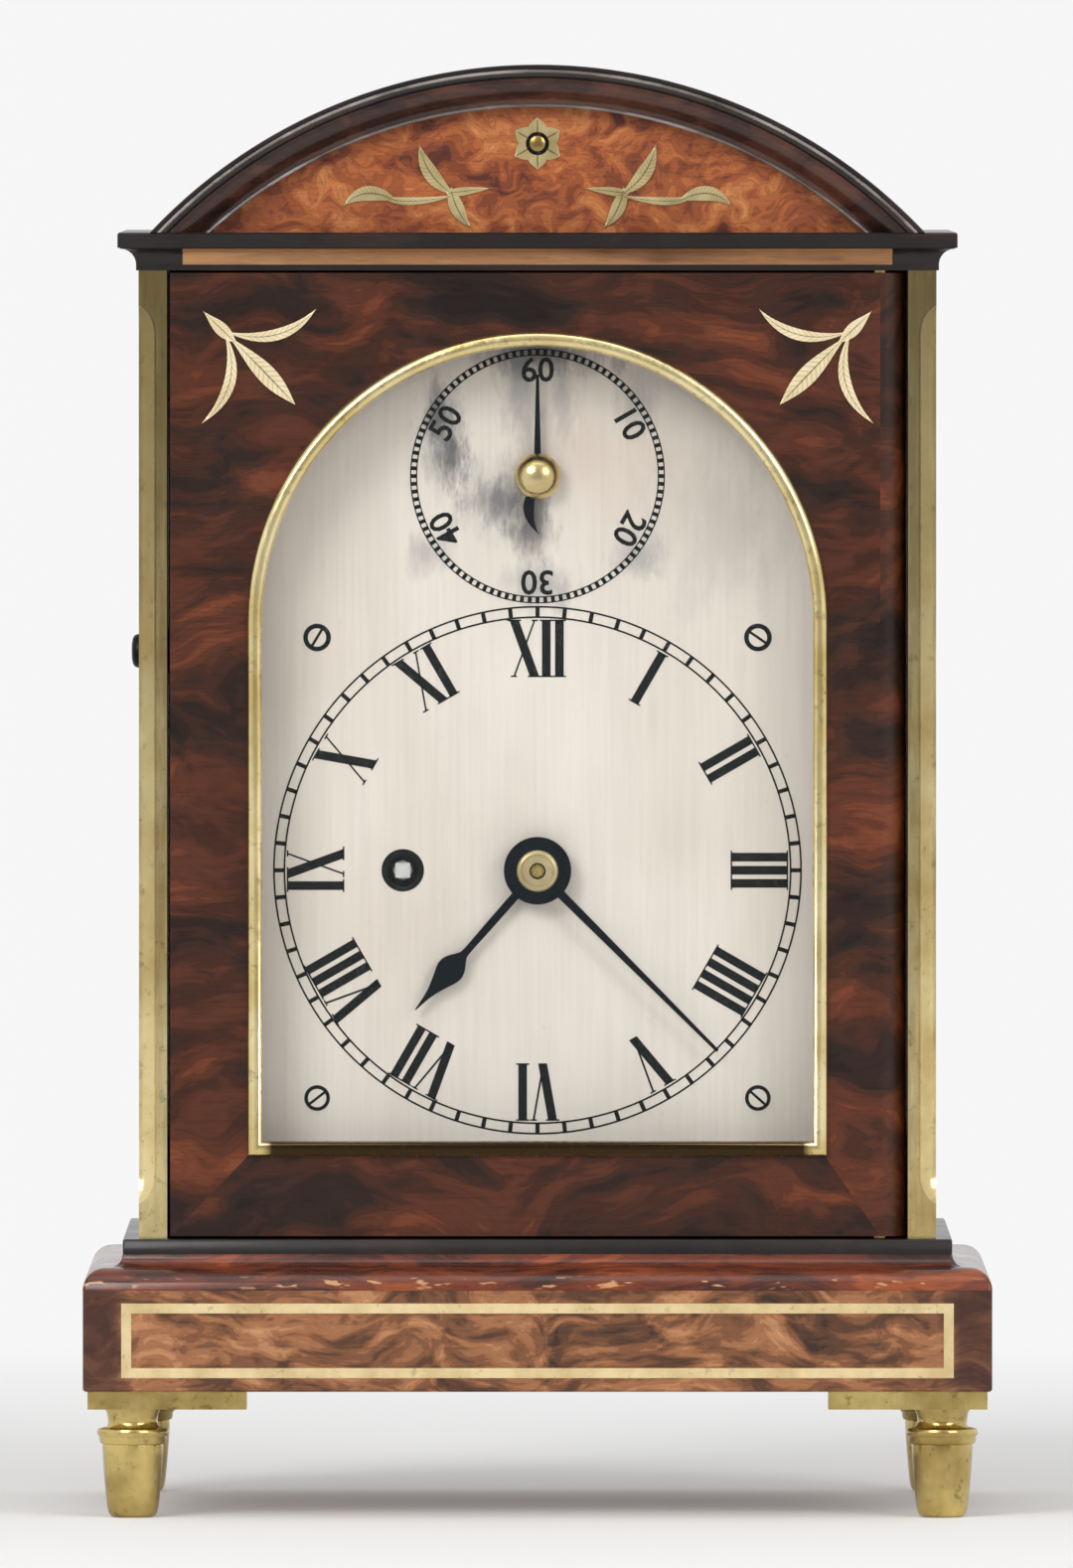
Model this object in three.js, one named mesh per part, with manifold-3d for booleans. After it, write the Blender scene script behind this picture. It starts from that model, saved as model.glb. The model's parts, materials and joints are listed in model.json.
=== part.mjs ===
// A small bracket clock of about 1820: a rosewood case with brass corners, inlay and feet, an arched
// silvered dial, and an eight-day fusee movement with an anchor escapement and a rise-and-fall dial.
// Millimetres. +X is to the right seen from the front, +Y is towards the back and +Z is up.
// The origin is on the surface that the clock stands on, under the middle of the base.
import * as THREE from "three";
import { mergeVertices } from "three/addons/utils/BufferGeometryUtils.js";
import Module from "manifold-3d";

const wasm = await Module();
wasm.setup();

// ---------------------------------------------------------------- driving dimensions

// Feet and plinth
const footHeight = 22;
const footRadius = 7.2;
const footInset = 10; // from the plinth's sides to the middle of a foot
const footPlateThickness = 3.6;
const footPlateReach = 32; // length of each arm of the corner plate
const footPlateWidth = 15;
const footPlateInset = 1; // from the plinth's sides to the edges of the plate
const plinthProjection = 11.5; // of the plinth beyond the body
const plinthFilletProjection = 3.5; // of the square that the body stands on
const plinthWallHeight = 20.4;
const plinthRoundRadius = 4.5;
const plinthCoveHeight = 2.5;
const plinthFilletHeight = 3;
const stringingWidth = 2;
const stringingMargin = 7.8; // from the plinth's ends to the brass line
const stringingBottom = 2.8; // above the plinth's lower edge
const stringingHeight = 15;
const stringingDepth = 0.8;

// Case body
const bodyHalfWidth = 80;
const bodyHalfDepth = 52.5;
const panelThickness = 5.5;
const cornerSize = 5.7;
const cornerProud = 0.3;
const cornerCoveRadius = 4.2;
const cornerRunOut = 6; // length in which the hollow dies away
const cornerStop = 13; // plain length left at each end of the corner moulding
const corniceHeight = 7.6;
const corniceProjection = 4.5;
const corniceCoveRadius = 3.2;
const joinerGap = 0.1; // slip between wooden pieces that are glued in

// Arched top
const roofInset = 2; // from the body's sides to the ends of the arch
const roofRise = 33.8;
const roofThickness = 3.4;
const archBand = 7.3;
const archSlip = 0.2; // between the moulding and the roof board round it
const tympanumSetback = 6;
const tympanumThickness = 4;
const roofFacets = 20; // flats round the arched top
const doorFacets = 20; // flats round the head of a door's opening
const inlayProud = 0.3;
const cornerInlaySize = 23; // width of a corner ornament of the door
const cornerInlayInset = 6.4; // from the door's edges

// Front door
const doorThickness = 10;
const doorGap = 0.5; // round the edges of both doors
const doorStile = 17; // wood beside the opening
const doorTopRail = 13.3; // wood above the top of the arch
const doorBottomRail = 17.5;
const bezelOverlap = 1.5; // how far the brass reaches over wood and over glass
const bezelProud = 1.6;
const glassThickness = 1.4;
const glassRebate = 1.8;
const glassSetback = 5.3; // from the door's face to the glass
const pinRadius = 1.5;
const pinLength = 9;
const pinClearance = 0.25;

// Back door
const backDoorThickness = 8;
const backDoorRecess = 0.5;
const backDoorStile = 18;
const backDoorTopRail = 14.5;
const backDoorBottomRail = 15.5;
const backGlassSetback = 3;

// Side frets and the door's push button
const fretSideMargin = 25.5; // from the front and the back of the body to the fret
const fretBottomMargin = 36; // from the lower edge of the body
const fretTopMargin = 38; // from the top of the body to the top of the arch
const fretThickness = 1.8;
const fretColumns = 3;
const fretRows = 7;
const fretBar = 2.2; // metal left between two openings
const fretSetback = 0.4; // behind the face of the side panel
const buttonRadius = 3.4;
const buttonFlange = 1.4;
const buttonDrop = 77; // from the top of the body to the button's axis
const buttonSetback = 21.5; // from the front of the case to the button's axis
const buttonProud = 2;

// Dial
const dialSideMargin = 2.5; // of the dial beyond the door's opening
const dialBottomMargin = 4;
const dialThickness = 1.5;
const dialSetback = 16; // from the case's front to the dial's face
const maskThickness = 2.4;
const maskGap = 0.6; // between the mask and the dial, and between the mask and the door
const centreRise = 73.8; // from the lower edge of the body to the hands
const archRise = 50.4; // from the hands to where the dial's sides turn into the arch
const windingOffset = 27.2; // winding square to the left of the hands
const windingHoleRadius = 3.5;
const dialPillarInset = 9.5; // from the sides of the plates
const dialPillarUp = 47;
const dialPillarDown = 46;
const dialPillarRadius = 2.5;

// Movement frame
const dialToPlate = 9; // behind the dial to the front plate
const plateThickness = 2.5;
const plateSpacing = 40;
const plateHalfWidth = 54;
const plateShoulderHalfWidth = 30;
const plateShoulderDrop = 31;
const plateBelowCentre = 53.8;
const plateAboveRegulation = 7.6; // above the rise-and-fall arbor
const framePillarInset = 8; // from the sides of the plates
const pillarRadius = 3.2;
const seatHeight = 8;
const pivotRadius = 0.9;
const pivotHoleRadius = 1.15;
const arborRadius = 1.4;
const windingArborRadius = 2;
const runningGap = 0.3; // between pieces that turn on each other

// Going train: teeth of each wheel and leaves of the pinion that it drives
const greatTeeth = 96;
const centreLeaves = 8;
const centreTeeth = 84;
const thirdLeaves = 7;
const thirdTeeth = 90;
const escapeLeaves = 6;
const escapeTeeth = 30;
const centreToThird = 26;
const thirdToEscape = 25;
const escapeRadius = 13;
const palletSpan = 7.5; // in teeth of the escape wheel
const palletDrop = 0.3; // from a pallet to the tips of the teeth at mid swing
const wheelThickness = 1.3;
const greatThickness = 2.4;

// Motion work
const cannonTeeth = 36;
const minuteTeeth = 36;
const minuteLeaves = 6;
const hourTeeth = 72;
const motionDistance = 18;
const motionAngle = -60; // degrees, direction of the minute wheel seen from the hands

// Fusee and barrel
const fuseeSmallRadius = 9;
const fuseeLargeRadius = 17.5;
const fuseeLength = 23;
const fuseeTurns = 7;
const fuseeGroove = 0.9;
const fuseeSides = 12;
const barrelRadius = 20.6;
const barrelLength = 25.6;
const barrelRim = 1.4;
const barrelFacets = 20;
const ratchetRadius = 7;
const ratchetTeeth = 16;
const lineRadius = 0.45;
const lineGap = 0.2;

// Pendulum and rise-and-fall work
const bobRise = 32.8; // from the body's floor to the middle of the bob, for three beats to the second
const bobRadius = 18;
const bobThickness = 8;
const rodRadius = 1.2;
const rodBelowBob = 5.5; // of the rating screw
const pendulumSetback = 7.8; // behind the back plate
const cockHalfWidth = 15;
const cockFootWidth = 5;
const cockRailWidth = 3;
const cockLugHalfWidth = 5;
const clampHalfWidth = 2;
const clampHeight = 5;
const regulationRise = 10.2; // from the pallet arbor to the rise-and-fall arbor
const snailSmallRadius = 4.2;
const snailRise = 3; // lift in snailSweep
const snailSweep = 300; // degrees
const snailThickness = 1.6;

// Hands
const hourHandLength = 37.4;
const minuteHandLength = 51.4;
const handBossRadius = 6.8;
const collarRadius = 4.2;
const handThickness = 0.8;
const shownMinutes = 442.5; // twenty-two and a half minutes past seven
const regulationHandLength = 20.5;
const regulationKnobRadius = 4.7;

// ---------------------------------------------------------------- places worked out from them

const plinthBottom = footHeight + footPlateThickness;
const bodyBottom =
  plinthBottom + plinthWallHeight + plinthRoundRadius + plinthCoveHeight + plinthFilletHeight;
const plinthHalfWidth = bodyHalfWidth + plinthProjection;
const plinthHalfDepth = bodyHalfDepth + plinthProjection;
const doorHalfWidth = bodyHalfWidth - panelThickness - doorGap;
const apertureHalfWidth = doorHalfWidth - doorStile;
const centreHeight = bodyBottom + centreRise;
const apertureSpring = centreHeight + archRise; // where the sides turn into the arch
const doorBottom = bodyBottom + doorGap;
const doorTop = apertureSpring + apertureHalfWidth + doorTopRail;
const apertureBottom = doorBottom + doorBottomRail;
const bodyTop = doorTop + doorGap;
const backApertureHalfWidth = doorHalfWidth - backDoorStile;
const backApertureBottom = doorBottom + backDoorBottomRail;
const backApertureSpring = doorTop - backDoorTopRail - backApertureHalfWidth;
const fretHalfWidth = bodyHalfDepth - fretSideMargin;
const fretBottom = bodyBottom + fretBottomMargin;
const fretSpring = bodyTop - fretTopMargin - fretHalfWidth;
const buttonHeight = bodyTop - buttonDrop;
const roofBase = bodyTop + corniceHeight;
const roofHalfChord = bodyHalfWidth - roofInset;
const roofRadius = (roofHalfChord ** 2 + roofRise ** 2) / (2 * roofRise);
const roofCentre = roofBase + roofRise - roofRadius;
const front = -bodyHalfDepth;
const doorBack = front + doorThickness;
const doorPinX = doorHalfWidth - doorThickness / 2;
const doorPinY = front + doorThickness / 2;
const glassFront = front + glassSetback;
const back = bodyHalfDepth - backDoorRecess;
const backDoorFront = back - backDoorThickness;
const backPinX = -(doorHalfWidth - backDoorThickness / 2);
const backPinY = backDoorFront + backDoorThickness / 2;
const dialHalfWidth = apertureHalfWidth + dialSideMargin;
const dialBottom = apertureBottom - dialBottomMargin;
const dialFace = front + dialSetback;
const dialBack = dialFace + dialThickness;
const frontPlateFace = dialBack + dialToPlate;
const frontPlateBack = frontPlateFace + plateThickness;
const backPlateFace = frontPlateBack + plateSpacing;
const backPlateBack = backPlateFace + plateThickness;
const pendulumY = backPlateBack + pendulumSetback;
const thirdHeight = centreHeight + centreToThird;
const escapeHeight = thirdHeight + thirdToEscape;
const palletAngle = (palletSpan * Math.PI) / escapeTeeth; // half the span, about the escape wheel
const palletHeight = escapeHeight + escapeRadius / Math.cos(palletAngle);
const bobHeight = bodyBottom + bobRise;
const subDialHeight = palletHeight + regulationRise;
const plateBottom = centreHeight - plateBelowCentre;
const plateTop = subDialHeight + plateAboveRegulation;
const dialPillarX = plateHalfWidth - dialPillarInset;
const barrelOffset = windingOffset;
const greatPitch = (windingOffset * greatTeeth) / (greatTeeth + centreLeaves);
const centrePitch = (centreToThird * centreTeeth) / (centreTeeth + thirdLeaves);
const thirdPitch = (thirdToEscape * thirdTeeth) / (thirdTeeth + escapeLeaves);
const motionX = motionDistance * Math.cos(THREE.MathUtils.degToRad(motionAngle));
const motionZ = centreHeight + motionDistance * Math.sin(THREE.MathUtils.degToRad(motionAngle));

// Depths of the wheels between the plates, front to back
const centreWheelY = frontPlateBack + 2.9;
const thirdWheelY = frontPlateBack + 5.9;
const drumFront = frontPlateBack + 9.5; // front of the fusee and of the barrel
const greatWheelY = drumFront + fuseeLength + 1.2;
const escapeWheelY = greatWheelY + 0.6;

// Depths of the rise-and-fall work behind the back plate
const snailY = backPlateBack + 1;
const slideFront = snailY + snailThickness + 0.8;
const slideBack = slideFront + 1.4;

// Depths of the motion work and the hands in front of the front plate
const cannonWheelBack = frontPlateFace - 0.7;
const cannonWheelFront = cannonWheelBack - wheelThickness;
const hourWheelBack = cannonWheelFront - 0.9;
const hourWheelFront = hourWheelBack - wheelThickness;
const minuteCockFront = hourWheelFront - 2.2;
const hourHandBack = dialFace - 1.9;
const hourHandFront = hourHandBack - handThickness;
const minuteHandBack = hourHandFront - 1.2;
const minuteHandFront = minuteHandBack - handThickness;
const collarFront = minuteHandFront - 1.8;

// ---------------------------------------------------------------- solids

// A closed manifold-3d solid from a three.js geometry, with its faces turned outwards.
function solidOf(geometry) {
  const plain = geometry.index ? geometry.toNonIndexed() : geometry.clone();
  for (const name of Object.keys(plain.attributes)) if (name !== "position") plain.deleteAttribute(name);
  const merged = mergeVertices(plain, 1e-4);
  const corners = [];
  const index = merged.index.array;
  for (let i = 0; i < index.length; i += 3) {
    const [a, b, c] = [index[i], index[i + 1], index[i + 2]];
    if (a !== b && b !== c && c !== a) corners.push(a, b, c);
  }
  const make = (list) =>
    new wasm.Manifold(
      new wasm.Mesh({
        numProp: 3,
        vertProperties: merged.attributes.position.array,
        triVerts: new Uint32Array(list),
      }),
    );
  const made = make(corners);
  return made.volume() >= 0 ? made : make(corners.reverse());
}

function geometryOf(solid) {
  const mesh = solid.getMesh();
  const indexed = new THREE.BufferGeometry();
  indexed.setAttribute("position", new THREE.BufferAttribute(new Float32Array(mesh.vertProperties), 3));
  indexed.setIndex(new THREE.BufferAttribute(new Uint32Array(mesh.triVerts), 1));
  const flat = indexed.toNonIndexed();
  flat.computeVertexNormals();
  return flat;
}

const join = (first, ...others) => others.reduce((whole, piece) => whole.add(piece), first);
const cut = (first, ...others) => others.reduce((whole, piece) => whole.subtract(piece), first);
const moved = (solid, x, y, z) => solid.translate([x, y, z]);

// An outline swept straight. Each of its points is placed twice, on the near face and on the far face.
function prism(shape, curveSegments, place) {
  const block = new THREE.ExtrudeGeometry(shape, { depth: 1, bevelEnabled: false, curveSegments });
  const at = block.attributes.position;
  for (let i = 0; i < at.count; i++) at.setXYZ(i, ...place(at.getX(i), at.getY(i), at.getZ(i) > 0.5));
  return solidOf(block);
}

// An outline drawn in x and z, given a thickness along y.
const slab = (shape, y0, y1, curveSegments = 6) =>
  prism(shape, curveSegments, (x, z, far) => [x, far ? y1 : y0, z]);

// An outline drawn in x and y, given a height along z.
const board = (shape, z0, z1, curveSegments = 6) =>
  prism(shape, curveSegments, (x, y, far) => [x, y, far ? z1 : z0]);

// An outline drawn in y and z, given a thickness along x.
const cheek = (shape, x0, x1, curveSegments = 6) =>
  prism(shape, curveSegments, (y, z, far) => [far ? x1 : x0, y, z]);

const box = (x0, x1, y0, y1, z0, z1) => board(rectangle(x0, x1, y0, y1), z0, z1);

// A turning about the y axis from [radius, y] points. It starts and ends on the axis, or closes.
function turned(profile, segments = 12) {
  return solidOf(new THREE.LatheGeometry(profile.map(([r, y]) => new THREE.Vector2(r, y)), segments));
}

// The same about the z axis, and about the x axis.
const upright = (profile, segments) => turned(profile, segments).rotate([90, 0, 0]);
const crosswise = (profile, segments) => turned(profile, segments).rotate([0, 0, -90]);

const rodOf = (radius, y0, y1, segments = 8) =>
  turned([[0, y0], [radius, y0], [radius, y1], [0, y1]], segments);
const tubeOf = (inner, outer, y0, y1, segments = 10) =>
  turned([[inner, y0], [outer, y0], [outer, y1], [inner, y1], [inner, y0]], segments);
const uprightRod = (radius, z0, z1, segments = 8) =>
  rodOf(radius, z0, z1, segments).rotate([90, 0, 0]);

// ---------------------------------------------------------------- outlines

function outline(points) {
  return new THREE.Shape(points.map(([a, b]) => new THREE.Vector2(a, b)));
}

function rectangle(a0, a1, b0, b1) {
  return outline([[a0, b0], [a1, b0], [a1, b1], [a0, b1]]);
}

// Straight sides with a round arch on top.
function archOutline(halfWidth, bottom, spring) {
  const shape = new THREE.Shape();
  shape.moveTo(-halfWidth, bottom);
  shape.lineTo(halfWidth, bottom);
  shape.lineTo(halfWidth, spring);
  shape.absarc(0, spring, halfWidth, 0, Math.PI, false);
  return shape;
}

// The part of a disc about the roof's centre that stands above a level.
function segmentOutline(radius, level) {
  const start = Math.asin((level - roofCentre) / radius);
  const shape = new THREE.Shape();
  shape.absarc(0, roofCentre, radius, start, Math.PI - start, false);
  return shape;
}

// A slender leaf along a curved vein: pointed ends, widest part of the way along.
function leaf(from, bend, to, width, fullest = 0.5) {
  const vein = new THREE.QuadraticBezierCurve(
    new THREE.Vector2(...from), new THREE.Vector2(...bend), new THREE.Vector2(...to));
  const steps = 5;
  const sides = [[], []];
  for (let i = 0; i <= steps; i++) {
    const t = i / steps;
    const swell = Math.sin(Math.PI * t ** (Math.log(0.5) / Math.log(fullest)));
    const half = Math.max(0.12, (width / 2) * swell);
    const at = vein.getPoint(t);
    const along = vein.getTangent(t);
    sides[0].push([at.x + along.y * half, at.y - along.x * half]);
    sides[1].unshift([at.x - along.y * half, at.y + along.x * half]);
  }
  return outline([...sides[0], ...sides[1]]);
}

// ---------------------------------------------------------------- mouldings

// Carries a closed section of [out, y] points along a path of [x, z] points, with mitred corners.
function mouldingAlong(path, section, closed) {
  const count = path.length;
  const rings = path.map(([x, z], i) => {
    const before = path[(i + count - 1) % count];
    const after = path[(i + 1) % count];
    const into = new THREE.Vector2(x - before[0], z - before[1]).normalize();
    const outof = new THREE.Vector2(after[0] - x, after[1] - z).normalize();
    if (!closed && i === 0) into.copy(outof);
    if (!closed && i === count - 1) outof.copy(into);
    const normal = new THREE.Vector2(into.y + outof.y, -into.x - outof.x).normalize();
    const stretch = 1 / Math.max(0.3, normal.dot(new THREE.Vector2(into.y, -into.x)));
    return section.map(([out, y]) => [x + normal.x * out * stretch, y, z + normal.y * out * stretch]);
  });
  return solidOf(stitched(rings, closed));
}

// Joins rings of points, each ring a closed loop, into one surface, and caps the ends of an open run.
function stitched(rings, closed) {
  const sides = rings[0].length;
  const corners = [];
  const last = closed ? rings.length : rings.length - 1;
  for (let i = 0; i < last; i++) {
    const [one, two] = [rings[i], rings[(i + 1) % rings.length]];
    for (let k = 0; k < sides; k++) {
      const n = (k + 1) % sides;
      corners.push(one[k], two[k], two[n], one[k], two[n], one[n]);
    }
  }
  if (!closed) {
    const [first, final] = [rings[0], rings[rings.length - 1]];
    for (const [a, b, c] of capOf(first)) {
      corners.push(first[a], first[b], first[c]);
      corners.push(final[c], final[b], final[a]);
    }
  }
  const surface = new THREE.BufferGeometry();
  surface.setAttribute("position", new THREE.BufferAttribute(new Float32Array(corners.flat()), 3));
  return surface;
}

// Triangles that fill a flat ring of points, wound as the ring is walked.
function capOf(ring) {
  const points = ring.map((p) => new THREE.Vector3(...p));
  const normal = new THREE.Vector3();
  points.forEach((p, i) => normal.add(p.clone().cross(points[(i + 1) % points.length])));
  const flatten = new THREE.Quaternion().setFromUnitVectors(normal.normalize(), new THREE.Vector3(0, 0, 1));
  const flat = points.map((p) => p.applyQuaternion(flatten)).map((p) => new THREE.Vector2(p.x, p.y));
  return THREE.ShapeUtils.triangulateShape(flat, []);
}

// A block whose four sides follow a profile of [half width, half depth, z] levels.
function mouldedBlock(levels) {
  return solidOf(
    stitched(levels.map(([w, d, z]) => [[-w, -d, z], [w, -d, z], [w, d, z], [-w, d, z]]), false));
}

// Points of a quarter circle in a profile: from one end of the bend to the other.
function quarterRound(cx, cz, radius, from, to, steps) {
  return Array.from({ length: steps + 1 }, (_, i) => {
    const angle = THREE.MathUtils.degToRad(from + ((to - from) * i) / steps);
    return [cx + radius * Math.cos(angle), cz + radius * Math.sin(angle)];
  });
}

// ---------------------------------------------------------------- wheelwork

// A toothed outline about (cx, cz). One tooth points in the direction given, in radians. The points of
// a tooth are pairs: a radius, and a place across the tooth as a share of the tooth spacing.
function toothed(teeth, toothPoints, towards, cx, cz) {
  const step = (2 * Math.PI) / teeth;
  const points = [];
  for (let i = 0; i < teeth; i++) {
    for (const [radius, share] of toothPoints) {
      const angle = towards + (i + share) * step;
      points.push([cx + radius * Math.cos(angle), cz + radius * Math.sin(angle)]);
    }
  }
  return outline(points);
}

// Wheels have pointed teeth and pinions have slender leaves, as in clockwork.
function wheelOutline(teeth, pitch, towards, cx, cz) {
  const size = (2 * pitch) / teeth;
  return toothed(teeth, [[pitch + 0.9 * size, 0], [pitch - 1.1 * size, 0.5]], towards, cx, cz);
}

function pinionOutline(leaves, pitch, towards, cx, cz) {
  const size = (2 * pitch) / leaves;
  const root = pitch - 1.15 * size;
  const tip = pitch + 0.45 * size;
  return toothed(leaves, [[root, -0.17], [tip, -0.08], [tip, 0.08], [root, 0.17]], towards, cx, cz);
}

// Four openings between the rim, the hub and the arms of a wheel.
function crossOut(shape, inner, outer, armHalfWidth, cx, cz) {
  const steps = 2;
  for (let arm = 0; arm < 4; arm++) {
    const start = (arm * Math.PI) / 2;
    const points = [];
    for (const [radius, direction] of [[outer, 1], [inner, -1]]) {
      const trim = Math.asin(armHalfWidth / radius);
      for (let i = 0; i <= steps; i++) {
        const t = direction > 0 ? i / steps : 1 - i / steps;
        const angle = start + trim + (Math.PI / 2 - 2 * trim) * t;
        points.push(new THREE.Vector2(cx + radius * Math.cos(angle), cz + radius * Math.sin(angle)));
      }
    }
    shape.holes.push(new THREE.Path(points));
  }
  return shape;
}

// A shaft that runs in both plates, with thinner pivots in their holes.
function arborBetweenPlates(radius, y0 = frontPlateFace + 0.4, y1 = backPlateBack - 0.4) {
  const shoulder = 0.3;
  return turned([
    [0, y0], [pivotRadius, y0], [pivotRadius, frontPlateBack + shoulder], [radius, frontPlateBack + shoulder],
    [radius, backPlateFace - shoulder], [pivotRadius, backPlateFace - shoulder], [pivotRadius, y1], [0, y1],
  ], 8);
}

const clock = new THREE.Group();
const finishes = {
  rosewood: { color: 0x5a2c1c, roughness: 0.32, metalness: 0 },
  lightRosewood: { color: 0xa4572a, roughness: 0.32, metalness: 0 },
  ebonized: { color: 0x241712, roughness: 0.35, metalness: 0 },
  innerWood: { color: 0x6b4128, roughness: 0.7, metalness: 0 },
  brass: { color: 0xb9a05a, roughness: 0.3, metalness: 1 },
  silver: { color: 0xd8d2c8, roughness: 0.4, metalness: 0.7 },
  steel: { color: 0x8b8d90, roughness: 0.3, metalness: 1 },
  blued: { color: 0x1d2130, roughness: 0.3, metalness: 0.8 },
  glass: { color: 0xeef4f4, roughness: 0.03, metalness: 0, transparent: true, opacity: 0.2 },
  gut: { color: 0xb08a4a, roughness: 0.6, metalness: 0 },
};

function add(name, solid, finish) {
  const mesh = new THREE.Mesh(geometryOf(solid), new THREE.MeshStandardMaterial(finishes[finish]));
  mesh.name = name;
  clock.add(mesh);
}

// ================================================================ the case

// Turned foot and its corner plate, one casting. The arms of the plate run inwards from the corner.
function addFoot(name, sideX, sideY) {
  const x = plinthHalfWidth - footInset;
  const y = plinthHalfDepth - footInset;
  const r = footRadius;
  const h = footHeight;
  const turning = upright([
    [0, 0], [r * 0.56, 0], [r * 0.73, h * 0.06], [r * 0.93, h * 0.58], [r * 0.86, h * 0.67], [r, h * 0.72],
    [r, h * 0.79], [r * 0.74, h * 0.84], [r * 0.9, h + 0.5], [0, h + 0.5],
  ], 12);
  const edgeX = plinthHalfWidth - footPlateInset;
  const edgeY = plinthHalfDepth - footPlateInset;
  const plate = board(
    outline([
      [edgeX, edgeY], [edgeX - footPlateReach, edgeY], [edgeX - footPlateReach, edgeY - footPlateWidth],
      [edgeX - footPlateWidth, edgeY - footPlateWidth], [edgeX - footPlateWidth, edgeY - footPlateReach],
      [edgeX, edgeY - footPlateReach],
    ]),
    footHeight, plinthBottom);
  const foot = join(plate, moved(turning, x, y, 0));
  const mirrored = foot.scale([sideX, sideY, 1]);
  add(name, mirrored, "brass");
}

addFoot("foot_front_left", -1, -1);
addFoot("foot_front_right", 1, -1);
addFoot("foot_back_left", -1, 1);
addFoot("foot_back_right", 1, 1);

// Brass line let into the front of the plinth: a rectangular ring.
function stringingRing(slack, depth, proud) {
  const ring = rectangle(
    -plinthHalfWidth + stringingMargin - slack, plinthHalfWidth - stringingMargin + slack,
    plinthBottom + stringingBottom - slack, plinthBottom + stringingBottom + stringingHeight + slack);
  ring.holes.push(rectangle(
    -plinthHalfWidth + stringingMargin + stringingWidth + slack,
    plinthHalfWidth - stringingMargin - stringingWidth - slack,
    plinthBottom + stringingBottom + stringingWidth + slack,
    plinthBottom + stringingBottom + stringingHeight - stringingWidth - slack));
  return slab(ring, -plinthHalfDepth - proud, -plinthHalfDepth + depth);
}

// A hole for a door pin, from the pin's end to the face that it enters.
function pinHole(x, y, z0, z1) {
  return moved(uprightRod(pinRadius + pinClearance, z0, z1), x, y, 0);
}

const pinInCase = pinLength / 2;

function plinth() {
  const topOfWall = plinthBottom + plinthWallHeight;
  const topOfRound = topOfWall + plinthRoundRadius;
  const filletInset = plinthProjection - plinthFilletProjection;
  const profile = [
    [0, plinthBottom],
    ...quarterRound(-plinthRoundRadius, topOfWall, plinthRoundRadius, 0, 90, 4),
    ...quarterRound(-filletInset, topOfRound, plinthCoveHeight, 0, 90, 1),
    [-filletInset, bodyBottom],
  ];
  const block = mouldedBlock(profile.map(([out, z]) => [plinthHalfWidth + out, plinthHalfDepth + out, z]));
  return cut(
    block,
    stringingRing(joinerGap, stringingDepth, 1),
    pinHole(doorPinX, doorPinY, bodyBottom - pinInCase - 1, bodyBottom + 1),
    pinHole(backPinX, backPinY, bodyBottom - pinInCase - 1, bodyBottom + 1));
}

add("plinth", plinth(), "rosewood");
add("plinth_stringing", stringingRing(0, stringingDepth, 0), "brass");

// Arched opening for a fret, drawn in y and z about the middle of the side.
const fretOutline = (grow) => archOutline(fretHalfWidth + grow, fretBottom - grow, fretSpring);

function sidePanel(side) {
  const y0 = front + cornerSize;
  let panel = box(bodyHalfWidth - panelThickness, bodyHalfWidth, y0, bodyHalfDepth, bodyBottom, bodyTop);
  const opening = cheek(fretOutline(0), bodyHalfWidth - panelThickness - 1, bodyHalfWidth + 1);
  panel = cut(panel, opening);
  if (side < 0) {
    const bore = crosswise([
      [0, bodyHalfWidth - panelThickness - 1], [buttonRadius + runningGap, bodyHalfWidth - panelThickness - 1],
      [buttonRadius + runningGap, bodyHalfWidth + 1], [0, bodyHalfWidth + 1],
    ], 12);
    panel = cut(panel, moved(bore, 0, front + buttonSetback, buttonHeight));
  }
  return panel.scale([side, 1, 1]);
}

add("side_panel_left", sidePanel(-1), "rosewood");
add("side_panel_right", sidePanel(1), "rosewood");

// Pierced brass fret of overlapping scales, set in the side panel.
function fret(side) {
  const outer = bodyHalfWidth - fretSetback;
  const inner = outer - fretThickness;
  const scales = [];
  const pitchAcross = (2 * fretHalfWidth - fretBar) / fretColumns;
  const rowHeight = (fretSpring + fretHalfWidth - fretBottom - fretBar) / (fretRows + 0.3);
  const half = (pitchAcross - fretBar) / 2;
  for (let row = 0; row < fretRows; row++) {
    const offset = row % 2 ? pitchAcross / 2 : 0;
    for (let column = -fretColumns; column <= fretColumns; column++) {
      const y = column * pitchAcross + offset;
      const z = fretBottom + fretBar + row * rowHeight;
      const scale = [
        [y - half * 0.55, z], [y + half * 0.55, z], [y + half, z + rowHeight * 0.45],
        [y, z + rowHeight * 1.2], [y - half, z + rowHeight * 0.45],
      ];
      const fits = scale.every(([across, height]) =>
        Math.hypot(across, Math.max(0, height - fretSpring)) < fretHalfWidth - fretBar / 2);
      if (fits) scales.push(outline(scale));
    }
  }
  const plate = cheek(fretOutline(-joinerGap), inner, outer);
  return cut(plate, ...scales.map((shape) => cheek(shape, inner - 1, outer + 1))).scale([side, 1, 1]);
}

add("fret_left", fret(-1), "brass");
add("fret_right", fret(1), "brass");

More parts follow.
